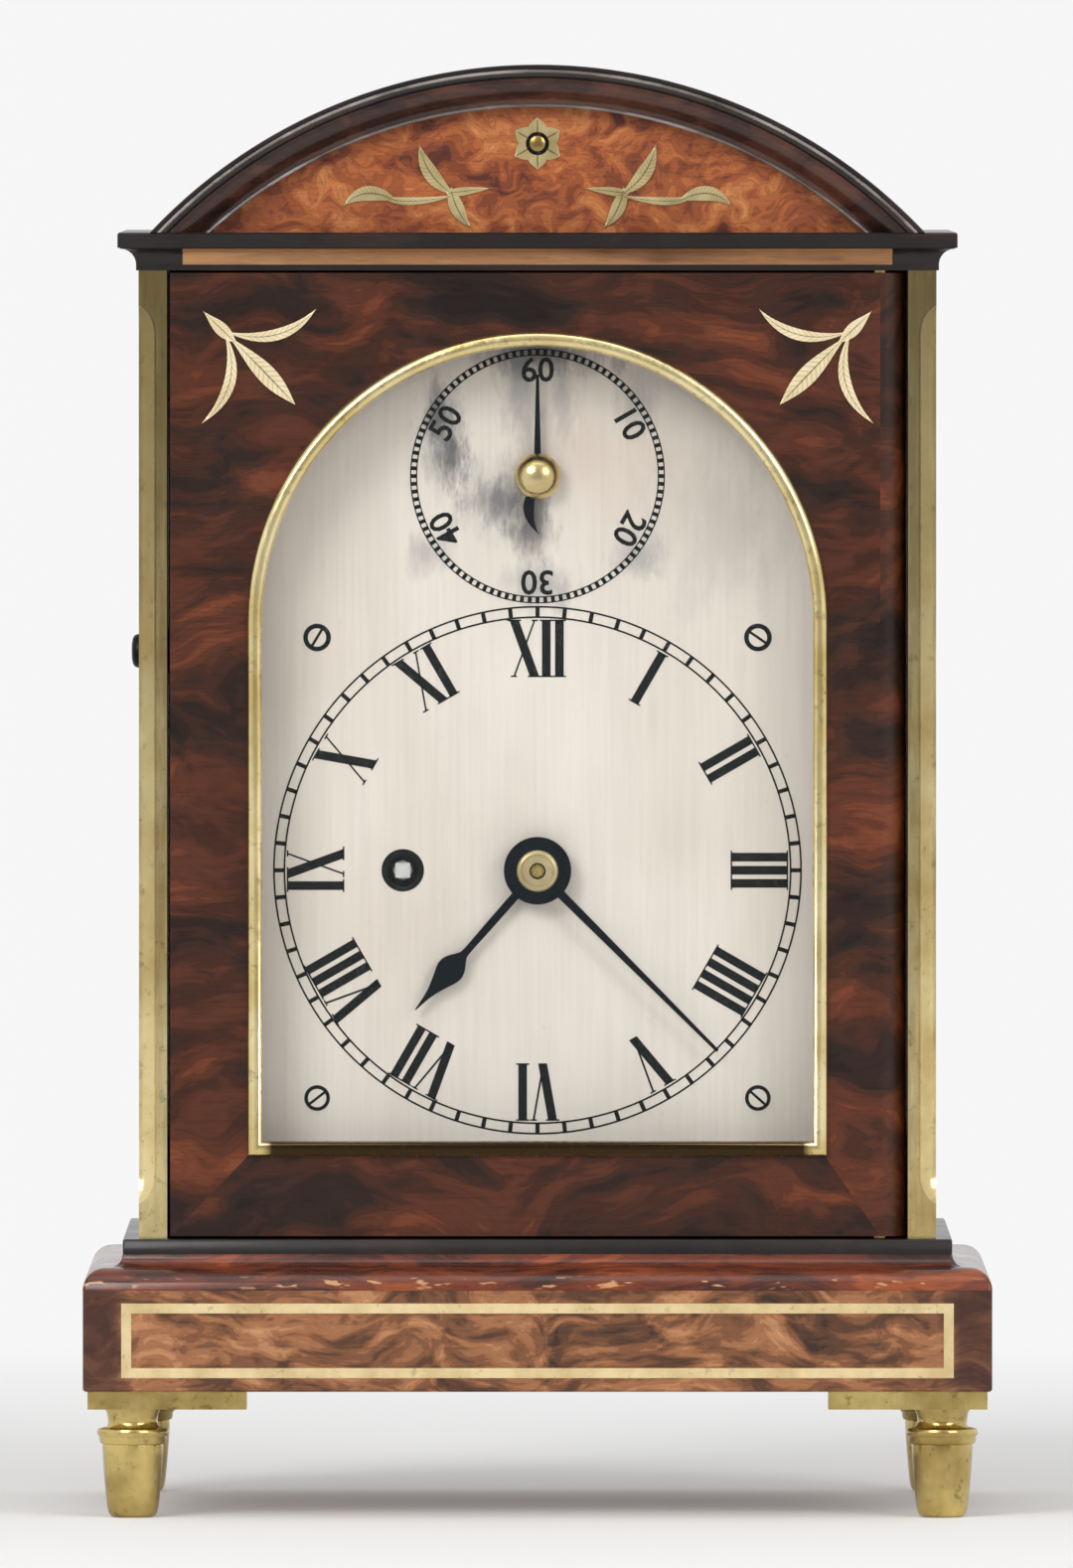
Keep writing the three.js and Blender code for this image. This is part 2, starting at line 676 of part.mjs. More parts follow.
// Brass corner moulding: a square bar whose outer edge is hollowed between two stops.
function cornerStrip(side) {
  const x1 = bodyHalfWidth + cornerProud;
  const y0 = front - cornerProud;
  const bar = box(bodyHalfWidth - cornerSize + cornerProud, x1, y0, front + cornerSize, bodyBottom, bodyTop);
  const runOut = cornerRunOut;
  const low = bodyBottom + cornerStop;
  const high = bodyTop - cornerStop;
  const r = cornerCoveRadius;
  const hollow = upright([
    [0, low - runOut], [r * 0.45, low - runOut * 0.75], [r * 0.8, low - runOut * 0.35], [r, low],
    [r, high], [r * 0.8, high + runOut * 0.35], [r * 0.45, high + runOut * 0.75], [0, high + runOut],
  ], 16);
  return cut(bar, moved(hollow, x1 + 0.6, y0 - 0.6, 0)).scale([side, 1, 1]);
}

add("corner_strip_left", cornerStrip(-1), "brass");
add("corner_strip_right", cornerStrip(1), "brass");

// Moulded cornice board that closes the top of the body.
function cornice() {
  const p = corniceProjection;
  const bead = 1;
  const edge = bodyTop + 0.6 * corniceHeight; // lower edge of the square above the hollow
  const profile = [
    [0, bodyTop], [bead * 0.8, bodyTop], [bead * 0.8, bodyTop + bead],
    ...quarterRound(p - 0.5, edge - 0.2 - corniceCoveRadius, corniceCoveRadius, 180, 90, 3),
    [p, edge], [p, roofBase],
  ];
  const block = mouldedBlock(profile.map(([out, z]) => [bodyHalfWidth + out, bodyHalfDepth + out, z]));
  return cut(
    block,
    pinHole(doorPinX, doorPinY, bodyTop - 1, bodyTop + pinInCase + 1),
    pinHole(backPinX, backPinY, bodyTop - 1, bodyTop + pinInCase + 1));
}

add("cornice", cornice(), "ebonized");

// Bent roof board from front to back, with the back of the arch closed by its own board.
function roof() {
  const y0 = front - corniceProjection + 1.5;
  const y1 = bodyHalfDepth + corniceProjection;
  const inner = roofRadius - roofThickness;
  const outerStart = Math.asin((roofBase - roofCentre) / roofRadius);
  const innerStart = Math.asin((roofBase - roofCentre) / inner);
  const band = new THREE.Shape();
  band.absarc(0, roofCentre, roofRadius, outerStart, Math.PI - outerStart, false);
  band.absarc(0, roofCentre, inner, Math.PI - innerStart, innerStart, true);
  const backBoard = slab(segmentOutline(inner + 0.5, roofBase), bodyHalfDepth - 4, bodyHalfDepth, roofFacets / 2);
  return join(slab(band, y0, y1, roofFacets / 2), backBoard);
}

add("roof", roof(), "rosewood");

// Arched moulding round the front of the roof, cut level where it stands on the cornice.
function archMoulding() {
  const inner = roofRadius - roofThickness - archSlip;
  const outer = roofThickness + archSlip;
  const y0 = front - corniceProjection;
  const y1 = front - corniceProjection + 1.5;
  const depth = front + tympanumSetback - 2.4;
  const edge = outer - archBand;
  const section = [
    [outer, y0], [outer, y1], [0, y1], [0, depth], [edge, depth], [edge, y0 + 4.2], [edge + 0.9, y0 + 3.8],
    [edge + 2.4, y0 + 1.9], [outer - 1.8, y0 + 0.9], [outer - 1.8, y0],
  ];
  const start = Math.asin((roofBase - roofCentre) / roofRadius) - 0.06;
  const steps = roofFacets;
  const path = Array.from({ length: steps + 1 }, (_, i) => {
    const angle = start + ((Math.PI - 2 * start) * i) / steps;
    return [inner * Math.cos(angle), roofCentre + inner * Math.sin(angle)];
  });
  const run = mouldingAlong(path, section, false);
  return cut(run, box(-2 * roofHalfChord, 2 * roofHalfChord, 2 * front, 0, 0, roofBase));
}

add("arch_moulding", archMoulding(), "ebonized");

const tympanumFace = front + tympanumSetback - 2.3;
add(
  "tympanum_panel",
  slab(
    segmentOutline(roofRadius - roofThickness - 0.4, roofBase), tympanumFace, tympanumFace + tympanumThickness,
    roofFacets / 2),
  "lightRosewood");

// ---------------------------------------------------------------- brass inlay

const inlayOn = (shapes, face) => join(...shapes.map((shape) => slab(shape, face - inlayProud, face, 8)));

// Six-petalled rosette with a raised ring.
function rosette(x, z, radius) {
  const petals = 6;
  const points = [];
  for (let i = 0; i < petals * 2; i++) {
    const angle = Math.PI / 2 + (i * Math.PI) / petals;
    const reach = i % 2 ? radius * 0.68 : radius;
    points.push([x + reach * Math.cos(angle), z + reach * Math.sin(angle)]);
  }
  const ring = outline(points);
  ring.holes.push(new THREE.Path().absarc(x, z, radius * 0.32, 0, 2 * Math.PI, true));
  return ring;
}

const tympanumRise = roofRise - roofThickness;
const rosetteRadius = tympanumRise * 0.171;
add(
  "tympanum_rosette", inlayOn([rosette(0, roofBase + tympanumRise * 0.589, rosetteRadius)], tympanumFace), "brass");

// A spray of leaves from one joint, on one side of the tympanum. Its points are hundredths of half the
// arch's half width, from the middle and from the height of the joint.
function spray(side) {
  const unit = roofHalfChord / 200;
  const height = roofBase + tympanumRise * 0.26;
  const at = (across, above) => [side * across * unit, height + above * unit];
  return inlayOn([
    leaf(at(42.6, -1), at(57.9, 7.7), at(61, 25.1), 7.7 * unit, 0.5),
    leaf(at(41.5, -1), at(71.8, -7.2), at(80.8, -1), 4.1 * unit, 0.5),
    leaf(at(72.8, -4.1), at(89.7, 5.1), at(100, -6.7), 7.7 * unit, 0.45),
    leaf(at(44.9, 2.6), at(42.1, -10.3), at(34.4, -17.7), 7.2 * unit, 0.4),
    leaf(at(47.2, -0.3), at(35.9, 1.5), at(23.1, 2.6), 4.4 * unit, 0.3),
    outline([at(41.5, -2.8), at(47.2, -2.8), at(44.4, 3.3)]),
  ], tympanumFace);
}

add("tympanum_spray_left", spray(-1), "brass");
add("tympanum_spray_right", spray(1), "brass");

// Corner ornament of the door: a spear leaf between two curved sprigs. Its points are hundredths of its
// width, inwards and downwards from its outer corner.
function cornerInlay(side) {
  const unit = cornerInlaySize / 100;
  const edge = doorHalfWidth - cornerInlayInset;
  const at = (across, down) => [side * (edge - across * unit), doorTop - cornerInlayInset - down * unit];
  return inlayOn([
    leaf(at(0.9, 5.2), at(13.9, 18.7), at(30.4, 33.5), 11.3 * unit, 0.6),
    leaf(at(21.7, 23.9), at(70, 38.7), at(100, 3.9), 10 * unit, 0.5),
    leaf(at(20, 24.8), at(39.1, 70.9), at(0, 103.9), 10 * unit, 0.5),
    leaf(at(22.6, 26.5), at(53, 56.1), at(81.7, 87.4), 16.1 * unit, 0.58),
  ], front);
}

add("corner_inlay_left", cornerInlay(-1), "brass");
add("corner_inlay_right", cornerInlay(1), "brass");

// ================================================================ front door

// Plan of a door: its hinge edge is rounded about the pins, which stand at side * pinX.
function doorPlan(side, halfWidth, y0, y1) {
  const radius = (y1 - y0) / 2;
  const shape = new THREE.Shape();
  shape.moveTo(-side * halfWidth, y0);
  shape.lineTo(side * (halfWidth - radius), y0);
  shape.absarc(side * (halfWidth - radius), y0 + radius, radius, -Math.PI / 2, Math.PI / 2, side < 0);
  shape.lineTo(-side * halfWidth, y1);
  return shape;
}

function frontDoor() {
  const slabOfWood = board(doorPlan(1, doorHalfWidth, front, doorBack), doorBottom, doorTop, 4);
  const opening = slab(
    archOutline(apertureHalfWidth, apertureBottom, apertureSpring), front - 1, doorBack + 1, doorFacets / 2);
  const rebate = slab(
    archOutline(apertureHalfWidth + glassRebate, apertureBottom - glassRebate, apertureSpring),
    glassFront, doorBack + 1, doorFacets / 2);
  const seat = (z0, z1) => moved(uprightRod(pinRadius + 0.05, z0, z1), doorPinX, doorPinY, 0);
  return cut(
    slabOfWood, opening, rebate,
    seat(doorBottom - 1, doorBottom + pinInCase), seat(doorTop - pinInCase, doorTop + 1));
}

add("front_door_frame", frontDoor(), "rosewood");

// Brass moulding round the glass: a lip over the wood and a lining inside the opening.
function bezel() {
  const inner = -bezelOverlap;
  const section = [
    [inner, glassFront - 0.1], [inner, front - bezelProud * 0.5], [inner + 0.6, front - bezelProud * 0.95],
    [0.2, front - bezelProud], [bezelOverlap - 0.5, front - bezelProud * 0.7], [bezelOverlap, front],
    [-0.05, front], [-0.05, glassFront - 0.1],
  ];
  const path = [[-apertureHalfWidth, apertureBottom], [apertureHalfWidth, apertureBottom]];
  for (let i = 0; i <= doorFacets; i++) {
    const angle = (Math.PI * i) / doorFacets;
    path.push([apertureHalfWidth * Math.cos(angle), apertureSpring + apertureHalfWidth * Math.sin(angle)]);
  }
  return mouldingAlong(path, section, true);
}

add("front_door_bezel", bezel(), "brass");

const glassSlack = 0.3;
add(
  "front_door_glass",
  slab(
    archOutline(
      apertureHalfWidth + glassRebate - glassSlack, apertureBottom - glassRebate + glassSlack, apertureSpring),
    glassFront, glassFront + glassThickness, doorFacets / 2),
  "glass");

add(
  "front_door_lower_pin",
  moved(uprightRod(pinRadius, bodyBottom - pinInCase, doorBottom + pinInCase - 0.2), doorPinX, doorPinY, 0),
  "brass");
add(
  "front_door_upper_pin",
  moved(uprightRod(pinRadius, doorTop - pinInCase + 0.2, bodyTop + pinInCase), doorPinX, doorPinY, 0),
  "brass");

// ================================================================ back door

function backDoor() {
  const wood = board(doorPlan(-1, doorHalfWidth, backDoorFront, back), doorBottom, doorTop, 4);
  const opening = slab(
    archOutline(backApertureHalfWidth, backApertureBottom, backApertureSpring), backDoorFront - 1, back + 1,
    doorFacets / 2);
  const rebate = slab(
    archOutline(backApertureHalfWidth + glassRebate, backApertureBottom - glassRebate, backApertureSpring),
    backDoorFront - 1, back - backGlassSetback, doorFacets / 2);
  const pin = (z0, z1) => moved(uprightRod(pinRadius, z0, z1), backPinX, backPinY, 0);
  return join(
    cut(wood, opening, rebate),
    pin(bodyBottom - pinInCase, doorBottom + 1), pin(doorTop - 1, bodyTop + pinInCase));
}

add("back_door_frame", backDoor(), "rosewood");
add(
  "back_door_glass",
  slab(
    archOutline(
      backApertureHalfWidth + glassRebate - glassSlack, backApertureBottom - glassRebate + glassSlack,
      backApertureSpring),
    back - backGlassSetback - glassThickness, back - backGlassSetback, doorFacets / 2),
  "glass");
add(
  "back_door_knob",
  moved(
    turned([
      [0, back], [3, back], [1.6, back + 2.4], [3.2, back + 5], [3.6, back + 6.6], [2.4, back + 8.4],
      [0, back + 8.8],
    ], 12),
    (doorHalfWidth + backApertureHalfWidth) / 2, 0, (doorBottom + doorTop) / 2),
  "brass");

// ================================================================ push button of the door catch

const buttonInner = bodyHalfWidth - panelThickness;
const button = crosswise([
  [0, buttonInner - 1.2], [buttonRadius + buttonFlange, buttonInner - 1.2],
  [buttonRadius + buttonFlange, buttonInner],
  [buttonRadius, buttonInner], [buttonRadius, bodyHalfWidth + buttonProud - 0.6],
  [buttonRadius - 0.7, bodyHalfWidth + buttonProud], [0, bodyHalfWidth + buttonProud],
], 12);
add("catch_button", moved(button, 0, front + buttonSetback, buttonHeight).scale([-1, 1, 1]), "steel");

// ================================================================ dial

function dialPlate() {
  const shape = drilled(archOutline(dialHalfWidth, dialBottom, apertureSpring), [
    [0, centreHeight, 4.2], [-windingOffset, centreHeight, windingHoleRadius], [0, subDialHeight, 2],
  ], 12);
  return slab(shape, dialFace, dialBack, 10);
}

add("dial_plate", dialPlate(), "silver");

// Thin board behind the door that frames the dial.
function dialMask() {
  const y1 = dialFace - maskGap;
  const inner = bodyHalfWidth - panelThickness;
  const shape = rectangle(-inner + joinerGap, inner - joinerGap, bodyBottom, bodyTop);
  shape.holes.push(archOutline(apertureHalfWidth + 0.5, apertureBottom - 0.5, apertureSpring));
  return slab(shape, y1 - maskThickness, y1, doorFacets / 2);
}

add("dial_mask", dialMask(), "innerWood");

// ================================================================ movement frame

function plateOutline() {
  const shoulder = plateTop - plateShoulderDrop;
  return outline([
    [-plateHalfWidth, plateBottom], [plateHalfWidth, plateBottom], [plateHalfWidth, shoulder],
    [plateShoulderHalfWidth, plateTop], [-plateShoulderHalfWidth, plateTop], [-plateHalfWidth, shoulder],
  ]);
}

const dialPillars = [
  [-dialPillarX, centreHeight + dialPillarUp], [dialPillarX, centreHeight + dialPillarUp],
  [-dialPillarX, centreHeight - dialPillarDown], [dialPillarX, centreHeight - dialPillarDown],
];
const framePillarX = plateHalfWidth - framePillarInset;
const framePillarLow = plateBottom + 17;
const framePillarHigh = plateTop - plateShoulderDrop - 18;
const framePillars = [
  [-framePillarX, framePillarLow], [framePillarX, framePillarLow],
  [-framePillarX, framePillarHigh], [framePillarX, framePillarHigh], [22, plateTop - 7],
];
const pillarTenon = pillarRadius * 0.6;

function drilled(shape, holes, sides = 8) {
  for (const [x, z, radius] of holes) {
    const around = Array.from({ length: sides }, (_, i) => {
      const angle = (-2 * Math.PI * i) / sides;
      return new THREE.Vector2(x + radius * Math.cos(angle), z + radius * Math.sin(angle));
    });
    shape.holes.push(new THREE.Path(around));
  }
  return shape;
}

// The front plate carries the dial's pillars and the cock of the minute wheel.
function frontPlate() {
  const plate = slab(
    drilled(plateOutline(), [
      [0, centreHeight, arborRadius + runningGap], [0, thirdHeight, pivotHoleRadius],
      [0, escapeHeight, pivotHoleRadius], [0, palletHeight, pivotHoleRadius],
      [-windingOffset, centreHeight, windingArborRadius + runningGap],
      [barrelOffset, centreHeight, windingArborRadius + runningGap],
      [0, subDialHeight, arborRadius + runningGap],
      [motionX, motionZ, pivotHoleRadius], ...framePillars.map(([x, z]) => [x, z, pillarTenon + 0.25]),
    ]),
    frontPlateFace, frontPlateBack);
  const pillars = dialPillars.map(([x, z]) =>
    moved(
      turned([
        [0, dialBack], [dialPillarRadius, dialBack], [dialPillarRadius * 0.75, dialBack + 4.5],
        [dialPillarRadius, frontPlateFace + 0.3], [0, frontPlateFace + 0.3],
      ], 8),
      x, 0, z));
  return join(plate, ...pillars, minuteCock());
}

// Cock over the minute wheel's front pivot: an arm, and a foot beyond the wheel's rim.
function minuteCock() {
  const reach = 13;
  const arm = drilled(rectangle(-2.2, reach + 2, -2.2, 2.2), [[0, 0, pivotHoleRadius]]);
  const foot = box(reach - 2, reach + 2, minuteCockFront, frontPlateFace + 0.3, -2.2, 2.2);
  const cock = join(slab(arm, minuteCockFront, minuteCockFront + 1.4), foot);
  return moved(cock.rotate([0, -motionAngle, 0]), motionX, 0, motionZ);
}

add("front_plate", frontPlate(), "brass");

// The back plate with its riveted baluster pillars, whose tenons pass through the front plate.
function backPlate() {
  const plate = slab(
    drilled(plateOutline(), [
      [0, centreHeight, pivotHoleRadius], [0, thirdHeight, pivotHoleRadius], [0, escapeHeight, pivotHoleRadius],
      [0, palletHeight, 4.5], [-windingOffset, centreHeight, pivotHoleRadius],
      [barrelOffset, centreHeight, pivotHoleRadius], [0, subDialHeight, arborRadius + runningGap],
    ]),
    backPlateFace, backPlateBack);
  const r = pillarRadius;
  const middle = (frontPlateBack + backPlateFace) / 2;
  const pillar = turned([
    [0, frontPlateFace - 1.2], [pillarTenon, frontPlateFace - 1.2], [pillarTenon, frontPlateBack],
    [r * 1.35, frontPlateBack], [r * 0.8, frontPlateBack + 3], [r * 1.3, middle], [r * 0.8, backPlateFace - 3],
    [r * 1.35, backPlateFace + 0.3], [0, backPlateFace + 0.3],
  ], 8);
  return join(plate, ...framePillars.map(([x, z]) => moved(pillar, x, 0, z)));
}

add("back_plate", backPlate(), "brass");

// Board that the plates stand on, with a cleat at each end.
function seatBoard() {
  const inner = bodyHalfWidth - panelThickness - joinerGap;
  const y0 = frontPlateFace - 4;
  const y1 = backPlateBack + 1.5;
  const cleat = 10;
  return join(
    box(-inner, inner, y0, y1, plateBottom - seatHeight, plateBottom),
    box(-inner, -inner + cleat, y0, y1, bodyBottom, plateBottom - seatHeight + 0.5),
    box(inner - cleat, inner, y0, y1, bodyBottom, plateBottom - seatHeight + 0.5));
}

add("seat_board", seatBoard(), "innerWood");

// ================================================================ going train

// Directions are measured in the x and z plane from +X towards +Z.
const up = Math.PI / 2;

function greatWheel() {
  const shape = wheelOutline(greatTeeth, greatPitch, 0, -windingOffset, centreHeight);
  drilled(shape, [[-windingOffset, centreHeight, windingArborRadius + 0.2]]);
  return slab(shape, greatWheelY, greatWheelY + greatThickness);
}

add("great_wheel", greatWheel(), "brass");

function centreWheel() {
  const leafGap = Math.PI / centreLeaves;
  const pinionPitch = windingOffset - greatPitch;
  const pinion = slab(
    pinionOutline(centreLeaves, pinionPitch, Math.PI + leafGap, 0, centreHeight),
    greatWheelY - 0.8, greatWheelY + greatThickness + 0.4);
  const wheel = slab(
    crossOut(wheelOutline(centreTeeth, centrePitch, up, 0, centreHeight), 5, centrePitch - 3, 1.3, 0, centreHeight),
    centreWheelY, centreWheelY + wheelThickness);
  const arbor = moved(
    turned([
      [0, collarFront - 0.9], [arborRadius * 0.75, collarFront - 0.9], [arborRadius * 0.75, minuteHandFront],
      [arborRadius, minuteHandFront], [arborRadius, backPlateFace - 0.3], [pivotRadius, backPlateFace - 0.3],
      [pivotRadius, backPlateBack - 0.4], [0, backPlateBack - 0.4],
    ], 8),
    0, 0, centreHeight);
  return join(arbor, wheel, pinion);
}

add("centre_wheel", centreWheel(), "brass");

function thirdWheel() {
  const pinionPitch = centreToThird - centrePitch;
  const pinion = slab(
    pinionOutline(thirdLeaves, pinionPitch, -up + Math.PI / thirdLeaves, 0, thirdHeight),
    centreWheelY - 0.8, centreWheelY + wheelThickness + 0.8);
  const wheel = slab(
    crossOut(wheelOutline(thirdTeeth, thirdPitch, up, 0, thirdHeight), 4.5, thirdPitch - 2.8, 1.2, 0, thirdHeight),
    thirdWheelY, thirdWheelY + wheelThickness);
  return join(moved(arborBetweenPlates(arborRadius * 0.8), 0, 0, thirdHeight), wheel, pinion);
}

add("third_wheel", thirdWheel(), "brass");

function escapeWheel() {
  const pinionPitch = thirdToEscape - thirdPitch;
  const pinion = slab(
    pinionOutline(escapeLeaves, pinionPitch, -up + Math.PI / escapeLeaves, 0, escapeHeight),
    thirdWheelY - 0.8, thirdWheelY + wheelThickness + 0.8);
  const step = (2 * Math.PI) / escapeTeeth;
  const phase = up - palletAngle + step / 4; // each pallet stands a quarter of a tooth space from a tooth
  const wheel = slab(
    crossOut(
      toothed(
        escapeTeeth, [[escapeRadius - 2.4, -0.2], [escapeRadius, 0], [escapeRadius - 2.4, 0.3]], phase,
        0, escapeHeight),
      3, escapeRadius - 4, 0.8, 0, escapeHeight),
    escapeWheelY, escapeWheelY + wheelThickness);
  return join(moved(arborBetweenPlates(0.9), 0, 0, escapeHeight), wheel, pinion);
}

add("escape_wheel", escapeWheel(), "brass");

// ---------------------------------------------------------------- anchor, crutch and back cock

const cockBack = backPlateBack + 5.6;
const cockFront = backPlateBack + 3.8;
const crutchY = backPlateBack + 1.4;
const forkHeight = thirdHeight + 7;

function palletArbor() {
  const reach = escapeRadius + palletDrop;
  const tip = (side) => {
    const angle = up - side * palletAngle;
    const along = [Math.cos(angle), Math.sin(angle)];
    const across = [-along[1], along[0]];
    const at = (radial, width) => [
      along[0] * radial + across[0] * width, escapeHeight + along[1] * radial + across[1] * width,
    ];
    return outline([at(reach, -0.25), at(reach, 0.25), at(reach + 3.2, 1.3), at(reach + 3.2, -1.3)]);
  };
  const half = [[-0.385, 0.092], [-0.892, -0.431], [-0.938, -0.569], [-0.785, -0.523], [-0.415, -0.2]];
  const mirrored = half.map(([across, above]) => [-across, above]).reverse();
  const arm = outline(
    [[0, 0.2], ...half, [0, -0.154], ...mirrored]
      .map(([across, above]) => [escapeRadius * across, palletHeight + escapeRadius * above]));
  const anchor = join(...[arm, tip(1), tip(-1)].map((shape) => slab(shape, escapeWheelY, escapeWheelY + 1.4)));
  const arbor = moved(
    turned([
      [0, frontPlateFace + 0.4], [pivotRadius, frontPlateFace + 0.4], [pivotRadius, frontPlateBack + 0.3],
      [1.2, frontPlateBack + 0.3], [1.2, cockFront - 0.3], [pivotRadius, cockFront - 0.3],
      [pivotRadius, cockBack - 0.5], [0, cockBack - 0.5],
    ], 8),
    0, 0, palletHeight);
  const crutch = box(-1, 1, crutchY, crutchY + 1.2, forkHeight, palletHeight + 1.5);
  const foot = box(-3.4, 3.4, crutchY, crutchY + 1.2, forkHeight, forkHeight + 2.4);
  const tine = (side) => {
    const [near, far] = [side * (rodRadius + 0.4), side * (rodRadius + 2.2)].sort((a, b) => a - b);
    return box(near, far, crutchY, pendulumY + 2.4, forkHeight, forkHeight + 2.4);
  };
  return join(arbor, anchor, crutch, foot, tine(1), tine(-1));
}

add("pallet_arbor", palletArbor(), "steel");

const slideHalfWidth = 6;
const railInner = slideHalfWidth + 0.3;
const springHalfThickness = 0.2;
const springHalfWidth = 1.7;

// Cock on the back plate: it carries the pallet arbor's rear pivot, the slotted lug that the suspension
// spring bends in, and two rails that guide the rise-and-fall slide.
function backCock() {
  const low = palletHeight - 6;
  const high = palletHeight + 4.6;
  const bridge = slab(
    drilled(rectangle(-cockHalfWidth, cockHalfWidth, low, high), [[0, palletHeight, pivotHoleRadius]]),
    cockFront, cockBack);
  const foot = (x0, x1) => box(x0, x1, backPlateBack, cockFront + 0.5, low, high);
  const rail = (x0, x1) => box(x0, x1, snailY + snailThickness + 0.4, cockBack, high - 0.5, plateTop - 1);
  const lug = cut(
    box(-cockLugHalfWidth, cockLugHalfWidth, cockBack - 0.2, pendulumY + springHalfWidth + 0.9,
      palletHeight - 1.7, palletHeight + 1.7),
    box(-springHalfThickness - 0.4, springHalfThickness + 0.4, cockBack + 0.4, pendulumY + 2 * pendulumSetback,
      palletHeight - 4, palletHeight + 4));
  return join(
    bridge, foot(-cockHalfWidth, -cockHalfWidth + cockFootWidth), foot(cockHalfWidth - cockFootWidth, cockHalfWidth),
    lug, rail(-railInner - cockRailWidth, -railInner), rail(railInner, railInner + cockRailWidth));
}

add("back_cock", backCock(), "brass");

// ---------------------------------------------------------------- pendulum

const springTop = palletHeight + 0.6;
const springBottom = palletHeight - 0.4;
const rodTop = palletHeight - 7;

// Lower half of the suspension spring, its brass clamp, the rod and the rating screw.
function pendulumRod() {
  const springStripLow = box(
    -springHalfThickness, springHalfThickness, pendulumY - springHalfWidth, pendulumY + springHalfWidth,
    rodTop - 1, springBottom);
  const clamp = box(
    -clampHalfWidth, clampHalfWidth, pendulumY - 1.6, pendulumY + 1.6, rodTop - clampHeight, rodTop);
  const rod = moved(uprightRod(rodRadius, bobHeight - bobRadius - rodBelowBob, rodTop - 4), 0, pendulumY, 0);
  return join(springStripLow, clamp, rod);
}

add("pendulum_rod", pendulumRod(), "steel");

// Lens-shaped bob, turned about a front-to-back axis and bored upright for the rod.
function pendulumBob() {
  const half = bobThickness / 2;
  const lens = turned([
    [0, -half], [bobRadius * 0.6, -half * 0.76], [bobRadius, -half * 0.12], [bobRadius, half * 0.12],
    [bobRadius * 0.6, half * 0.76], [0, half],
  ], 20);
  const bore = uprightRod(rodRadius + 0.15, -2 * bobRadius, 2 * bobRadius);
  return moved(cut(lens, bore), 0, pendulumY, bobHeight);
}

add("pendulum_bob", pendulumBob(), "brass");

const nutTop = bobHeight - bobRadius - 0.6;
add(
  "rating_nut",
  moved(
    upright([
      [rodRadius + 0.15, nutTop - 2.6], [3.4, nutTop - 2.6], [3.8, nutTop - 2], [3.8, nutTop - 0.6],
      [3, nutTop], [rodRadius + 0.15, nutTop], [rodRadius + 0.15, nutTop - 2.6],
    ], 8),
    0, pendulumY, 0),
  "brass");

// ---------------------------------------------------------------- rise-and-fall work

// Arbor through the dial and both plates, with a spiral cam behind the back plate.
function regulationArbor() {
  const arbor = turned([
    [0, dialFace - 3.4], [arborRadius, dialFace - 3.4], [arborRadius, snailY + snailThickness],
    [0, snailY + snailThickness],
  ], 8);
  const steps = 24;
  const sweep = THREE.MathUtils.degToRad(snailSweep);
  const points = [];
  for (let i = 0; i <= steps; i++) {
    const t = i / steps;
    const angle = up - sweep / 2 + sweep * t;
    const radius = snailSmallRadius + snailRise * t;
    points.push([radius * Math.cos(angle), radius * Math.sin(angle)]);
  }
  return moved(join(arbor, slab(outline(points), snailY, snailY + snailThickness)), 0, 0, subDialHeight);
}

add("regulation_arbor", regulationArbor(), "brass");

// Slide between the cock's rails. Its shelf rests on the cam, and it holds the top of the spring.
function suspensionSlide() {
  const shelfLow = subDialHeight + snailSmallRadius + snailRise / 2 + 0.25;
  const plateLow = palletHeight + 6.6;
  const plate = box(-slideHalfWidth, slideHalfWidth, slideFront, slideBack, plateLow, shelfLow + 2.2);
  const shelf = box(-0.8, 0.8, snailY, slideFront + 0.4, shelfLow, shelfLow + 2.2);
  const block = box(-3.2, 3.2, slideBack - 0.4, pendulumY + springHalfWidth + 0.4, plateLow, plateLow + 3.4);
  const strip = box(
    -springHalfThickness, springHalfThickness, pendulumY - springHalfWidth, pendulumY + springHalfWidth,
    springTop, plateLow + 0.5);
  return join(plate, shelf, block, strip);
}

add("suspension_slide", suspensionSlide(), "brass");

// ================================================================ motion work and hands

function cannonPinion() {
  const cannonPitch = (motionDistance * cannonTeeth) / (cannonTeeth + minuteTeeth);
  const direction = THREE.MathUtils.degToRad(motionAngle);
  const wheel = slab(
    wheelOutline(cannonTeeth, cannonPitch, direction, 0, centreHeight), cannonWheelFront, cannonWheelBack);
  const bore = arborRadius + runningGap;
  const pipe = moved(
    turned([
      [bore, minuteHandBack], [2.4, minuteHandBack], [2.4, cannonWheelBack], [bore, cannonWheelBack],
      [bore, minuteHandBack],
    ], 8),
    0, 0, centreHeight);
  return cut(join(wheel, pipe), moved(rodOf(bore, minuteHandBack - 1, cannonWheelBack + 1), 0, 0, centreHeight));
}

add("cannon_pinion", cannonPinion(), "steel");

function minuteWheel() {
  const pitch = (motionDistance * minuteTeeth) / (cannonTeeth + minuteTeeth);
  const back0 = THREE.MathUtils.degToRad(motionAngle) + Math.PI;
  const wheel = slab(
    wheelOutline(minuteTeeth, pitch, back0 + Math.PI / minuteTeeth, motionX, motionZ),
    cannonWheelFront, cannonWheelBack);
  const pinionPitch = (motionDistance * minuteLeaves) / (minuteLeaves + hourTeeth);
  const pinion = slab(
    pinionOutline(minuteLeaves, pinionPitch, back0 + Math.PI / minuteLeaves, motionX, motionZ),
    hourWheelFront - 0.4, cannonWheelFront + 0.3);
  const arbor = rodOf(pivotRadius, minuteCockFront + 0.3, frontPlateBack - 0.2);
  return join(wheel, pinion, moved(arbor, motionX, 0, motionZ));
}

